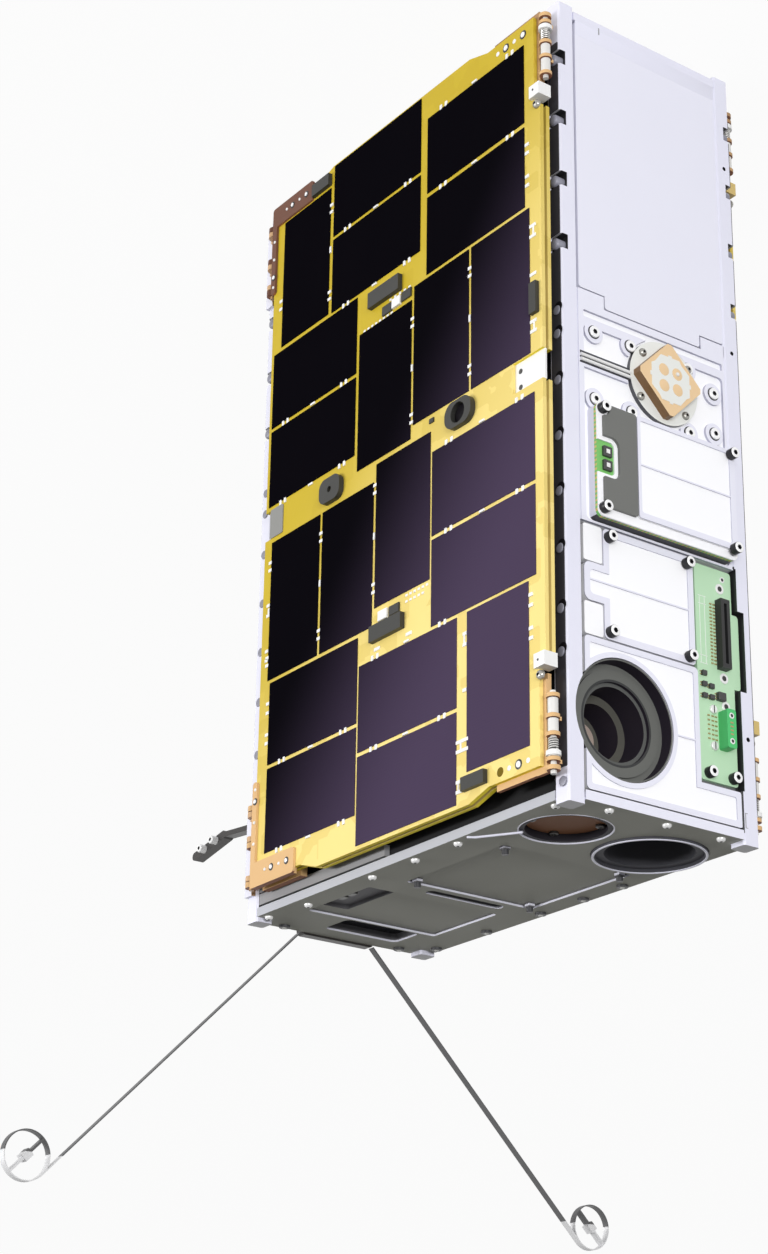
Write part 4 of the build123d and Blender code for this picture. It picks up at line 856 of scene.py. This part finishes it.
ELECTRODE = 10.6
ELECTRODE_CORNER = 5.2
ELECTRODE_TAB = 1.0
ELECTRODE_TAB_REACH = 0.8
CORNER_CUT = (1.2, 2.2)
PATCH_DOT = 2.8
PATCH_DOT_REACH = 3.75
SEAM_LEVEL = 0.25
SEAM_WIDTH = 0.8
WEDGE = 7.0
WEDGE_THIN = 0.05
COVER_SLOT = (-27.0, 360.0)
COVER_SLOT_SINK = 0.15
RAIL_SLOT = (42.7, 10.3)
RAIL_SLOT_END = (0.7, 3.1)


def seam_strips():
    """Pale strips in the seams round the upper cover, a wedge at its top step, and two thin slots drawn as
    grey painted shade.
    """
    low, high = flight_box("upper_cover")
    seat = flight_box("instrument_wall")[1][0]
    tall = COVER_LEVEL - SEAM_LEVEL - seat
    top = flight_box("closed_end_plate")[0][2]
    side = flight_box("middle_plate")[1][1] + SEAM_WIDTH
    upright = block(side - high[1], high[2] - low[2], tall, 0, 0.05)
    strips = [on_instrument(upright, seat, [((side + high[1]) / 2, (high[2] + low[2]) / 2)])]
    step = flight_box("closed_end_plate")[1][0] - COVER_LEVEL
    points, *rest = block(high[1] - low[1], WEDGE, step, 0, 0.01)
    points = np.array(points, float)
    points[:, 2] *= WEDGE_THIN + (1 - WEDGE_THIN) * (points[:, 1] / WEDGE + 0.5)
    middle = ((low[1] + high[1]) / 2, top - WEDGE / 2)
    strips.append(on_instrument((points, *rest), COVER_LEVEL, [middle]))
    middle_low, middle_high = flight_box("middle_plate")
    for edge, way in ((middle_low[1], -1), (middle_high[1], 1)):
        beside = block(SEAM_WIDTH, middle_high[2] - middle_low[2], tall, 0, 0.05)
        place = (edge + way * SEAM_WIDTH / 2, (middle_high[2] + middle_low[2]) / 2)
        strips.append(on_instrument(beside, seat, [place]))
    piece("seam_strips", joined(*strips), LOOK["pale_aluminium"])
    cover_slot = on_instrument(block(0.6, 3.4, 0.2, 0, 0.02), RAIL_LEVEL - COVER_SLOT_SINK, [COVER_SLOT])
    rail_y, rail_z = RAIL_SLOT
    rail_slot = on_instrument(block(0.5, 6.5, 0.05, 0, 0.02), RAIL_LEVEL, [RAIL_SLOT])
    aside, half = RAIL_SLOT_END
    ends = [(rail_y + aside, rail_z + half), (rail_y + aside, rail_z - half)]
    slot_ends = on_instrument(block(1.1, 0.25, 0.05, 0, 0.02), RAIL_LEVEL, ends)
    piece("slot_shade_lines", joined(cover_slot, rail_slot, slot_ends), FRAME_SHADE_GREY)


def patch_top():
    """The patch's pale electrode, a square with cut corners and small tabs, with four bare round spots."""
    low, high = flight_box("patch_antenna")
    centre = ((low[1] + high[1]) / 2, (low[2] + high[2]) / 2)
    half, corner, tab = ELECTRODE, ELECTRODE_CORNER, ELECTRODE_TAB
    out = half + ELECTRODE_TAB_REACH
    cut = corner + CORNER_CUT[0]
    side = np.array([(half, -corner), (half, -tab), (out, -tab), (out, tab), (half, tab), (half, corner),
                     (cut, cut + CORNER_CUT[1])])
    quarter = np.array([(0, 1), (-1, 0)])
    turns = [np.linalg.matrix_power(quarter, k) for k in range(4)]
    outline = np.concatenate([side @ turn for turn in turns])
    plate = stacked(outline, [(0, 0), (0, 0.12), (0.05, 0.16)])
    piece("patch_electrode", on_instrument(plate, PATCH_LEVEL, [centre]), LOOK["patch_ground"])
    reach = PATCH_DOT_REACH
    places = [(centre[0] + a, centre[1] + b) for a in (-reach, reach) for b in (-reach, reach)]
    dot = turned([(PATCH_DOT, 0), (PATCH_DOT, 0.18), (PATCH_DOT - 0.1, 0.22)], 28)
    piece("patch_spots", on_instrument(dot, PATCH_LEVEL, places), LOOK["patch_ceramic"])
    pin = turned([(0.95, 0), (0.95, 0.35), (0.8, 0.7), (0.45, 0.85)], 20)
    piece("patch_feed_pin", on_instrument(pin, PATCH_LEVEL, [places[3]]), BRIGHT_SCREW)


WIRE = 0.75
WIRE_Y = (-40.6, -13.6)
WIRE_Z = (193.1, 195.2)
WIRE_LIFT = 0.8
FEED_STRIP = 5.6
FEED_STRIP_SHIFT = 0.4


def feed_wires():
    """The patch's two feed wires, side by side on a dark strip of painted shade on the middle plate's band.
    """
    strip = block(WIRE_Y[1] - WIRE_Y[0], FEED_STRIP, 0.1, 0, 0.03)
    place = (sum(WIRE_Y) / 2, sum(WIRE_Z) / 2 + FEED_STRIP_SHIFT)
    piece("patch_feed_shade_strip", on_instrument(strip, COVER_LEVEL, [place]), DARK_BAR)
    rise = COVER_LEVEL + WIRE * WIRE_LIFT
    paths = [[(rise, y, z) for y in np.linspace(*WIRE_Y, 6)] for z in WIRE_Z]
    piece("patch_feed_wires", joined(*[tube(path, WIRE, 10) for path in paths]), BRIGHT_SCREW)


SENSOR_TALL = 1.25


def sensors():
    """Two light sensors in the module's notch: a dark frame round a white window."""
    frame_outline = rounded(4.6, 4.6, 0.4)
    chip = stacked(frame_outline, [(0, 0), (0, 1.1), (0.15, SENSOR_TALL)])
    places = [(-31.0, 151.4), (-31.0, 145.2)]
    piece("light_sensors", on_instrument(chip, MODULE_BOARD_LEVEL, places), SENSOR)
    window = block(1.9, 1.9, 0.12, 0, 0.03)
    windows = on_instrument(window, MODULE_BOARD_LEVEL + SENSOR_TALL, places)
    piece("sensor_windows", windows, LOOK["pale_fitting"])


BIG_PART = (33.2, 61.8)


def access_board_parts():
    """Eyelets, pins, pads, small dark parts and printed lines on the access board."""
    eyes = on_board(WHITE_EYE, [(35.2, 110.6), (35.9, 70.7), (36.4, 58.4)])
    small_eyes = on_board(SMALL_WHITE_EYE, [(36.9, 115.2)])
    piece("board_eyelets", joined(eyes, small_eyes), BRIGHT_SCREW)
    slotted = turned([(1.9, 0), (1.9, 0.7), (1.6, 1.0)], 20)
    slot = block(0.5, 3.2, 0.12, 0, 0.04)
    screws = [(29.0, 55.6), (29.0, 39.8)]
    piece("board_slotted_screws", on_board(slotted, screws), BRIGHT_SCREW)
    piece("board_screw_slots", on_instrument(slot, BOARD_LEVEL + 1.0, screws), SENSOR)
    pins = [(y, z) for y in (29.6, 31.4) for z in np.linspace(76.0, 102.5, 18)]
    pads = [(y, z) for y in (26.4, 28.6, 30.4) for z in np.linspace(42.6, 52.6, 6)]
    pin = block(1.1, 0.55, 0.5, 0, 0.1)
    piece("connector_pins", on_board(pin, pins + pads), GOLD_PAD)
    small = block(2.5, 2.1, 1.5, 0.2, 0.2)
    small_places = [(24.3, 70.4), (24.3, 65.6), (28.2, 65.4), (24.3, 60.6), (28.2, 60.6)]
    big = block(4.2, 3.6, 2.0, 0.3, 0.25)
    dark_parts = joined(on_board(small, small_places), on_board(big, [BIG_PART]))
    piece("board_parts", dark_parts, SENSOR)
    legs = [(y + a, z + b) for y, z in small_places for a in (-1.5, 1.5) for b in (-0.6, 0.6)]
    legs += [(BIG_PART[0] + a, BIG_PART[1] + b) for a in (-2.4, 2.4) for b in (-1.1, 0, 1.1)]
    piece("board_part_legs", on_board(block(0.8, 0.4, 0.4, 0, 0.08), legs), GOLD_PAD)
    long_line = block(0.3, 30.0, 0.06, 0, 0.02)
    short_line = block(4.4, 0.3, 0.06, 0, 0.02)
    lines = joined(on_board(long_line, [(23.6, 90.0), (26.4, 90.0)]),
                   on_board(short_line, [(25.0, 105.0), (25.0, 75.0), (25.0, 101.5), (25.0, 78.5)]))
    piece("board_lines", lines, PRINT)
    top = flight_box("access_connectors")[1][0]
    ends = [(34.4, 41.6), (34.4, 52.6)]
    piece("green_connector_eyes", on_instrument(SMALL_WHITE_EYE, top, ends), BRIGHT_SCREW)
    contacts = [(34.4, z) for z in np.linspace(44.6, 49.6, 4)]
    contact = block(1.6, 0.7, 0.15, 0, 0.04)
    piece("green_connector_contacts", on_instrument(contact, top, contacts), GOLD_PAD)


BAR_X = 109.3
BAR_WIDTH = 6.4
BAR_TALL = 0.3
BAR_SPANS = [(14.0, 242.4), (249.6, 272.9), (280.1, 303.4), (310.6, 333.9), (341.1, 345.0)]
BUTTON_X = 110.4
BUTTONS = [8.4, 61.8, 80.1, 106.1, 131.2, 156.0, 181.3, 202.6, 213.7]
BUTTON_HOLE = (0.5, 1.0)
NOTCHES = [246.0, 276.5, 307.0, 337.5]
NOTCH_FLOOR = 3.6
FIRST_HOLE = 20.0
FAR_BUTTONS = (70.0, 300.0)


def rail_details():
    """Dark strips on the instrument rails, black painted shade in the button holes, round heads on the front
    rails, and pins in the notches.
    """
    bars = []
    for low, high in BAR_SPANS:
        bar = block(BAR_WIDTH, high - low, BAR_TALL, 0.5, 0.1)
        bars.append(stood(bar, "front", SIDE_LEVEL, [(BAR_X, (low + high) / 2)]))
    wing_pieces("rail_strips", joined(*bars), DARK_BAR, "bus")
    level = SIDE_LEVEL - BAR_TALL
    holes = [(BUTTON_X + BUTTON_HOLE[0], z + BUTTON_HOLE[1]) for z in BUTTONS if z > FIRST_HOLE]
    # Black rims in the button holes are painted shade
    rim = turned([(2.5, 0), (2.5, 0.1), (2.4, 0.14)], 24)
    piece("rail_button_hole_shades", stood(rim, "front", level, holes), BLACK)
    head = scaled(RAIL_HEAD, (0.78, 0.78, 0.5))
    buttons = stood(head, "front", level, [(BUTTON_X - 0.3, z - 0.2) for z in BUTTONS])
    free = [z for z in BUTTONS if FAR_BUTTONS[0] < z < FAR_BUTTONS[1]]
    far_buttons = stood(head, "front", SIDE_LEVEL, [(-BAR_X, z) for z in free])
    piece("rail_buttons", joined(buttons, far_buttons), RAIL_BUTTON)
    plunger = turned([(2.6, 0), (2.6, 3.8), (2.3, 4.3), (1.5, 4.7), (0.7, 4.85)], 24)
    floor = SIDE_LEVEL + NOTCH_FLOOR
    near = stood(plunger, "front", floor, [(BAR_X - 0.3, z - 0.4) for z in NOTCHES])
    far = stood(plunger, "front", floor, [(-BAR_X + 0.3, z - 0.4) for z in NOTCHES])
    wing_pieces("notch_plungers", joined(near, far), RAIL_BUTTON, "bus")


# Cells of the outer panel, as in the solids: left, right, low, high
OUTER_CELLS = [
    (-86.0, -46.3, 280.0, 349.1), (-43.5, 26.0, 320.6, 359.8), (-43.5, 26.0, 279.3, 318.8),
    (31.2, 100.4, 306.3, 346.0), (31.2, 100.4, 264.4, 304.1), (-92.0, -22.2, 238.2, 277.8),
    (-92.0, -22.2, 196.6, 236.3), (-19.8, 20.4, 187.6, 256.8), (22.2, 61.9, 193.6, 262.7),
    (63.6, 103.3, 193.6, 262.7), (-88.2, -48.4, 108.0, 177.2), (-46.4, -6.5, 108.0, 177.2),
    (-4.6, 35.2, 116.0, 185.2), (36.6, 105.7, 135.2, 174.8), (36.6, 105.7, 93.8, 133.4),
    (-86.0, -16.6, 66.6, 106.2), (-86.0, -16.6, 25.2, 64.8), (-15.2, 54.2, 52.6, 92.2),
    (-15.2, 54.2, 11.2, 50.8), (61.2, 100.9, 23.3, 92.4),
]
# Which edge of each cell has the tabs: its low, high, left or right one
TAB_SIDES = ["right", "low", "low", "high", "high", "low", "low", "right", "right", None, "left", "left",
             "left", "high", "high", "low", "low", "high", "high", None]
TAB_PAIRS = (0.17, 0.86)
TAB_SHIFTS = (-1.9, 1.9)
TAB = (1.5, 2.4)
TAB_EDGE = 0.8


def at_heights(*rows):
    """Places (x, z) from rows of one x and its heights."""
    return [(x, z) for x, heights in rows for z in heights]


SIDE_TABS = at_heights((102.2, (294.4, 290.2, 278.6, 274.2)), (102.4, (86.1, 81.6, 71.8, 67.6)),
                       (-89.6, (145.9, 140.8, 123.1, 118.5)), (-87.2, (96.6, 92.1, 81.5, 77.4)),
                       (-87.4, (305.9, 301.5)), (59.8, (83.3, 78.5, 58.7)))
TRACES = at_heights((105.5, (253.0, 248.0, 229.7, 207.5, 202.9)), (56.2, (37.4, 33.3, 20.5, 16.3)),
                    (60.2, (37.4, 33.3)), (-2.0, (96.4,)), (21.0, (96.0,)))
TRACE_LINKS = [(105.9, 250.5), (105.9, 205.2), (57.2, 35.3), (55.8, 18.4), (59.4, 81.0)]


def cell_tabs():
    """White welded tabs: two pairs and a small diode along one edge of most cells, and short traces."""
    flat, upright, diodes_flat, diodes_upright = [], [], [], []
    for (left, right, low, high), side in zip(OUTER_CELLS, TAB_SIDES):
        if side in ("low", "high"):
            z = low - TAB_EDGE if side == "low" else high + TAB_EDGE
            length = right - left
            flat += [(left + share * length + shift, z) for share in TAB_PAIRS for shift in TAB_SHIFTS]
            diodes_flat.append((left + length / 2, z))
        elif side:
            x = left - TAB_EDGE if side == "left" else right + TAB_EDGE
            length = high - low
            upright += [(x, high - share * length + shift) for share in TAB_PAIRS for shift in TAB_SHIFTS]
            diodes_upright.append((x, high - length / 2))
    width, across = TAB
    shape = joined(on_panel(block(width, across, 0.5, 0, 0.05), flat),
                   on_panel(block(across, width, 0.5, 0, 0.05), upright + SIDE_TABS),
                   on_panel(block(3.4, 1.0, 0.6, 0, 0.05), diodes_flat),
                   on_panel(block(1.0, 3.4, 0.6, 0, 0.05), diodes_upright),
                   on_panel(block(4.0, 1.5, 0.42, 0, 0.05), TRACES),
                   on_panel(block(0.8, 3.6, 0.4, 0, 0.05), TRACE_LINKS))
    wing_pieces("cell_tabs", shape, LOOK["pale_fitting"])


def panel_parts():
    """Eyelets, dots, a hole, chips, a bumper bore and pads on the outer panel."""
    large = [(88.0, 351.8), (99.9, 351.8), (93.9, 17.6)]
    small = [(82.3, 351.8), (93.9, 351.8), (88.1, 17.6), (99.8, 17.6)]
    wing_pieces("panel_eyelets", on_panel(EYE, large), BLACK_SCREW)
    wing_pieces("panel_dots", on_panel(SMALL_EYE, small), LOOK["pale_fitting"])
    # The hole is a dark gold disc of painted shade
    hole = turned([(2.0, 0), (2.0, 0.05), (1.9, 0.08)], 24)
    wing_pieces("panel_hole_shade", on_panel(hole, [(82.4, 17.6)]), GOLD_HOLE_SHADE)
    dark = joined(on_panel(block(7.0, 4.6, 0.9, 0, 0.15), [(1.8, 260.6), (16.6, 261.4)]),
                  on_panel(block(7.0, 4.4, 0.9, 0, 0.15), [(10.6, 110.6)]),
                  on_panel(block(3.0, 2.2, 0.7, 0, 0.12), [(-43.0, 182.2), (36.0, 190.2)]))
    disc = on_panel(turned([(4.65, 0), (4.65, 0.3), (4.5, 0.4)], 32), [(57.2, 184.8)])
    wing_pieces("panel_chips", dark, LOOK["connector_plastic"])
    wing_pieces("bumper_bore", disc, BLACK)
    grey = joined(on_panel(block(6.0, 4.6, 1.3, 0, 0.15), [(9.2, 260.8)]),
                  on_panel(block(6.4, 4.6, 1.3, 0, 0.15), [(2.6, 110.6)]))
    wing_pieces("panel_grey_chips", grey, LOOK["pale_fitting"])
    row = [(x, 257.4) for x in np.arange(-16.0, 6.0, 3.0)]
    row += [(x, 264.6) for x in np.arange(4.0, 22.0, 3.6)]
    row += [(x, 114.2) for x in np.arange(19.0, 35.0, 2.9)]
    row += [(x, 111.4) for x in np.arange(19.0, 31.0, 2.9)]
    row += [(x, 106.6) for x in (-4.0, 0.0, 4.0)]
    wing_pieces("panel_pads", on_panel(block(1.5, 1.1, 0.3, 0, 0.08), row), LOOK["pale_fitting"])


BRACKET_BOLTS = (-78.5, -66.4)
BRACKET_PINS = (-83.4, -72.2)
BRACKET_POST = -93.4
BRACKET_FOOT = 6.6
BRACKET_HEAD = 5.4
POST_BOLT = 34.0
POST_PINS = (39.6, 24.0, 14.0)
BOLT = turned([(1.7, 0), (1.7, 0.12), (1.55, 0.16), (1.0, 0.16), (0.98, 0.18, 1), (0.95, 0.5, 1),
               (0.7, 0.6, 1)], 20)


def bracket_parts():
    """Bolts in dark rings and small pins on the corner brackets."""
    low, high = flight_box("front_outer_brackets")
    level = low[1]
    bolts, pins = [], []
    for row_z, post in ((low[2] + BRACKET_FOOT, 1), (high[2] - BRACKET_HEAD, -1)):
        bolts += [(x, row_z) for x in BRACKET_BOLTS] + [(BRACKET_POST, row_z + post * POST_BOLT)]
        pins += [(x, row_z) for x in BRACKET_PINS]
        pins += [(BRACKET_POST, row_z + post * rise) for rise in POST_PINS]
    wing_pieces("bracket_bolts", stood(BOLT, "front", level, bolts), BLACK_SCREW)
    pin = turned([(0.75, 0), (0.75, 0.3), (0.55, 0.5)], 16)
    wing_pieces("bracket_pins", stood(pin, "front", level, pins), BRIGHT_SCREW)


SPRING_RADIUS = 1.8
SPRING_WIRE = 0.27
SPRING_TURNS = 5
SPRING_STEPS = 24
COLLAR_TALL = 1.9
COLLAR_Z = (16.4, 347.9)
HOLD_PLATE = 1.3


def hinge_parts():
    """Springs and collars round the fold pins, screws by the clips, dots on the clips, and dark discs of
    painted shade for the hold plates' holes.
    """
    low, high = flight_box("front_fold_pins")
    axis_x, axis_y = (low[0] + high[0]) / 2, (low[1] + high[1]) / 2
    angle = np.linspace(0, 2 * pi * SPRING_TURNS, SPRING_TURNS * SPRING_STEPS + 1)
    springs = []
    for start, stop in SPRING_SPANS:
        rise = np.linspace(start + SPRING_WIRE, stop - SPRING_WIRE, len(angle))
        coil_x = axis_x + SPRING_RADIUS * np.cos(angle)
        coil_y = axis_y + SPRING_RADIUS * np.sin(angle)
        path = np.stack([coil_x, coil_y, rise], 1)
        springs.append(tube(path, SPRING_WIRE, 6))
    wing_pieces("hinge_springs", joined(*springs), LOOK["hinge_steel"])
    collar = turned([(3.0, 0), (3.0, COLLAR_TALL), (2.9, COLLAR_TALL + 0.1)], 24)
    points = collar[0] + (axis_x, axis_y, 0)
    collars = [(points + (0, 0, z), *collar[1:]) for z in COLLAR_Z]
    wing_pieces("hinge_collars", joined(*collars), LOOK["pale_fitting"])
    round_head = scaled(BUTTON_HEAD, (1.05, 1.05, 1.3))
    wing_pieces("clip_screws", on_panel(round_head, [(108.4, 50.2), (109.4, 310.8)]), CLIP_SCREW)
    clip_level = flight_box("front_hold_plates")[0][1]
    dot = turned([(0.55, 0), (0.55, 0.06), (0.5, 0.1)], 14)
    wing_pieces("clip_dots", stood(dot, "front", clip_level, [(108.4, 56.2), (108.4, 318.0)]), SENSOR)
    # Dark discs of painted shade for the hold plates' holes
    plate_eye = turned([(1.2, 0), (1.2, 0.12), (1.1, 0.16)], 18)
    plate_level = PANEL_LEVEL + HOLD_PLATE
    plate_holes = stood(plate_eye, "front", plate_level, [(95.2, 189.0), (95.2, 181.6)])
    wing_pieces("hold_plate_hole_shades", plate_holes, SENSOR)


CLIP_REACH = 14.6
CLIP_ANGLES = (70.0, 160.0, 250.0, 340.0)
POST_RISE = 0.6
RIB_RISE = 0.2
LENS_RING_DEPTH = 3.4
SOCKET_DEPTH = 3.2


def aperture_end():
    """The aperture end plate's screws, bushes, posts and rib, the apertures' rims, clips and connectors."""
    front = [(100.4, -46.1), (38.4, -46.0), (9.3, -46.0), (-21.6, -45.7), (-73.6, -43.2), (-101.3, -45.8)]
    side = [(108.6, -26.0), (108.6, 4.0), (108.6, 33.0)]
    piece("end_plate_screws", on_end(BUTTON_HEAD, front + side), BRIGHT_SCREW)
    back = [(x, 45.7) for x in (-98.0, -60.0, -21.0, 8.2, 34.0)] + [(-109.4, -32.0), (-108.8, 31.8)]
    bush = turned([(2.6, 0), (2.6, 0.9), (2.4, 1.1), (1.2, 1.1), (1.15, 1.12, 1), (0.8, 1.5, 1)], 24)
    piece("end_plate_bushes", on_end(bush, back), DARK_BUSH)
    posts = [(x, y) for x in (-15.5, 44.5) for y in (-26.5, 35.0)]
    post = turned([(1.5, 0), (1.5, 2.0), (1.3, 2.2)], 18)
    piece("end_plate_posts", stood(post, "aperture", END_LEVEL - POST_RISE, posts), DARK_BUSH)
    rib_path = ((47.5, -48.6), (49.6, -45.6), (58.0, -40.3), (66.5, -35.0))
    rib = tube([(x, y, END_LEVEL - RIB_RISE) for x, y in rib_path], 0.6)
    piece("end_plate_rib", rib, LOOK["pale_aluminium"])
    large = (75.0, 24.8)
    small = (79.0, -23.0)
    rim = turned([(22.9, 0), (23.9, 0), (23.9, 0.3), (23.7, 0.4), (23.1, 0.4), (22.9, 0.3)], 72, True)
    lens_mouth = flight_box("large_aperture_ring")[0][2]
    piece("large_aperture_rim", stood(rim, "aperture", lens_mouth, [large]), LOOK["pale_aluminium"])
    small_rim = turned([(18.95, 0), (19.4, 0), (19.4, 0.1), (19.3, 0.16), (19.05, 0.16),
                        (18.95, 0.1)], 64, True)
    piece("small_aperture_rim", on_end(small_rim, [small]), LOOK["pale_aluminium"])
    inner_ring = turned([(14.4, 0), (17.0, 0), (17.0, 0.6), (16.6, 0.9), (14.9, 0.5),
                         (14.4, 0.2)], 64, True)
    lens_low = flight_box("large_aperture_lens")[0][2]
    piece("lens_ring", stood(inner_ring, "aperture", lens_low + LENS_RING_DEPTH, [large]), LOOK["dark_metal"])
    clips = [(small[0] + CLIP_REACH * cos(radians(a)), small[1] + CLIP_REACH * sin(radians(a)))
             for a in CLIP_ANGLES]
    disc = flight_box("small_aperture_disc")[0][2]
    clip = turned([(2.0, 0), (2.0, 0.9), (1.6, 1.2), (0.9, 1.2), (0.85, 0.8)], 20)
    piece("shutter_clips", stood(clip, "aperture", disc, clips), LOOK["dark_metal"])
    sockets = [(-60.0, -34.0), (-53.0, -34.0)]
    connectors = stood(block(4.6, 2.8, 2.0, 0.3, 0.2), "aperture", END_LEVEL + SOCKET_DEPTH, sockets)
    piece("end_connectors", connectors, LOOK["grey_plate"])


FRAME_TALL = 2.8
PIPE = 0.8
PIPE_BEND = 4.0


def wall_frames():
    """The frame along the foot of each wide wall and up beside its rail, grey as painted shade, with a bent
    pipe over it.
    """
    foot = stood(block(96.0, 5.2, FRAME_TALL, 0.3, 0.2), "front", WALL_LEVEL, [(-56.3, 9.9)])
    side = stood(block(3.2, 60.0, FRAME_TALL, 0.3, 0.2), "front", WALL_LEVEL, [(-102.7, 43.0)])
    wing_pieces("wall_frames", joined(foot, side), FRAME_SHADE_GREY, "bus")
    bend = np.linspace(0, pi / 2, 8)
    corner = np.stack([-12.0 + PIPE_BEND * np.sin(bend), 18.6 - PIPE_BEND * np.cos(bend)], 1)
    path = [(-50.0, 14.6), (-30.0, 14.6), *corner.tolist(), (-8.0, 30.0)]
    pipe = tube([(x, WALL_LEVEL - PIPE, z) for x, z in path], PIPE, across=(0.0, 1.0, 0.0))
    wing_pieces("wall_pipes", pipe, LOOK["pale_aluminium"], "bus")


ARM_Y = 38.0
ARM_HALF = 2.5


def arm_parts():
    """Two bright bolt heads on the pad of each release arm."""
    head = turned([(2.0, 0), (2.0, 3.0), (1.7, 3.4), (1.0, 3.4, 0, 1), (0.98, 3.37, 1, 1),
                   (0.98, 2.2, 1, 1)], 20)
    wall = flight_box("antenna_side_wall")[0][0]
    spots = [(46.0, 52.8), (56.0, 50.9)]
    for name, side in (("front", -1), ("back", 1)):
        level = side * ARM_Y - ARM_HALF
        shape = stood(head, "front", level, [(wall - out, z) for out, z in spots])
        piece(f"arm_bolts_{name}", shape, BRIGHT_SCREW)


instrument_face()
rail_details()
cell_tabs()
panel_parts()
bracket_parts()
hinge_parts()
aperture_end()
wall_frames()
arm_parts()

# Camera: the photograph's view, with the satellite turned over
PHOTO_WIDTH = 768
PHOTO_HEIGHT = 1254
SENSOR_WIDTH = 36.0
CAMERA_PLACE = (-0.7795, -0.6117, 0.6572)
CAMERA_AZIMUTH = -53.708
CAMERA_ELEVATION = 21.109
CAMERA_ROLL = -179.407
FOCAL_PIXELS = 2410.55
CENTRE_PIXEL = (416.83, 688.88)


def make_camera():
    """The photograph's camera: place, aim and roll, with the frame shifted as the picture is cropped."""
    data = bpy.data.cameras.new("camera")
    data.sensor_width = SENSOR_WIDTH
    data.lens = FOCAL_PIXELS * SENSOR_WIDTH / PHOTO_HEIGHT
    data.shift_x = (PHOTO_WIDTH / 2 - CENTRE_PIXEL[0]) / PHOTO_HEIGHT
    data.shift_y = (CENTRE_PIXEL[1] - PHOTO_HEIGHT / 2) / PHOTO_HEIGHT
    data.clip_start = 0.05
    data.clip_end = 100
    camera = bpy.data.objects.new("camera", data)
    SCENE.collection.objects.link(camera)
    camera.location = CAMERA_PLACE
    azimuth, elevation = radians(CAMERA_AZIMUTH), radians(CAMERA_ELEVATION)
    back = Vector((sin(azimuth) * cos(elevation), -cos(azimuth) * cos(elevation), sin(elevation)))
    aim = (-back).to_track_quat("-Z", "Y")
    camera.rotation_mode = "QUATERNION"
    camera.rotation_quaternion = aim @ Quaternion((0, 0, 1), radians(CAMERA_ROLL))
    SCENE.camera = camera


def area_light(name, place, target, width, height, power):
    """One wide soft box at a place, turned to a target."""
    data = bpy.data.lights.new(name, "AREA")
    data.shape = "RECTANGLE"
    data.size = width
    data.size_y = height
    data.energy = power
    lamp = bpy.data.objects.new(name, data)
    SCENE.collection.objects.link(lamp)
    lamp.location = place
    lamp.rotation_mode = "QUATERNION"
    lamp.rotation_quaternion = (Vector(target) - Vector(place)).to_track_quat("-Z", "Y")


def seen_directly(net):
    """1 for rays from the camera and for rays off gloss or through glass, else 0."""
    path = net.nodes.new("ShaderNodeLightPath")
    plain = math_node(net, "MAXIMUM", path.outputs["Is Camera Ray"], path.outputs["Is Glossy Ray"])
    return math_node(net, "MAXIMUM", plain, path.outputs["Is Transmission Ray"])


LIGHT_TARGET = (0, 0, 0.24)
LIGHT_TALL = 0.34
FLOOR_SIZE = 40.0
FLOOR_SHOWN = 0.95
FLOOR_LIGHT = 0.45
FLOOR_PALE = (0.85, 0.85, 0.85, 1)
FLOOR_ROUGH = 0.9
WORLD_LIGHT = 0.13
WORLD_TINT = (1.0, 1.0, 0.94)


def make_floor():
    """A pale floor that glows on the satellite, looks white to the camera and keeps a faint shadow."""
    half = FLOOR_SIZE / 2
    mesh = bpy.data.meshes.new("floor")
    corners = [(-half, -half, 0), (half, -half, 0), (half, half, 0), (-half, half, 0)]
    mesh.from_pydata(corners, [], [(0, 1, 2, 3)])
    floor = bpy.data.objects.new("floor", mesh)
    SCENE.collection.objects.link(floor)
    material = bpy.data.materials.new("pale_floor")
    net, shader = tree(material)
    shader.inputs["Base Color"].default_value = FLOOR_PALE
    shader.inputs["Roughness"].default_value = FLOOR_ROUGH
    glow = net.nodes.new("ShaderNodeEmission")
    mix = net.nodes.new("ShaderNodeMixShader")
    share = math_node(net, "MULTIPLY_ADD", seen_directly(net), FLOOR_SHOWN - FLOOR_LIGHT, FLOOR_LIGHT)
    net.links.new(share, mix.inputs["Fac"])
    net.links.new(shader.outputs["BSDF"], mix.inputs[1])
    net.links.new(glow.outputs["Emission"], mix.inputs[2])
    net.links.new(mix.outputs["Shader"], net.nodes["Material Output"].inputs["Surface"])
    mesh.materials.append(material)


def make_world():
    """Dim even light all round, which the camera sees as white."""
    world = bpy.data.worlds.new("studio")
    SCENE.world = world
    world.use_nodes = True
    net = world.node_tree
    background = net.nodes["Background"]
    tint = mixed(net, seen_directly(net), WORLD_TINT, (1.0, 1.0, 1.0))
    net.links.new(tint, background.inputs["Color"])
    shown = math_node(net, "MULTIPLY_ADD", seen_directly(net), 1 - WORLD_LIGHT, WORLD_LIGHT)
    net.links.new(shown, background.inputs["Strength"])


make_camera()
make_world()
make_floor()
area_light("key_light", (-2.2, -0.9, 0.50), LIGHT_TARGET, 1.6, LIGHT_TALL, 41)
area_light("front_light", (0.9, -2.2, 0.50), LIGHT_TARGET, 1.5, LIGHT_TALL, 42)
SCENE.view_settings.view_transform = "Standard"
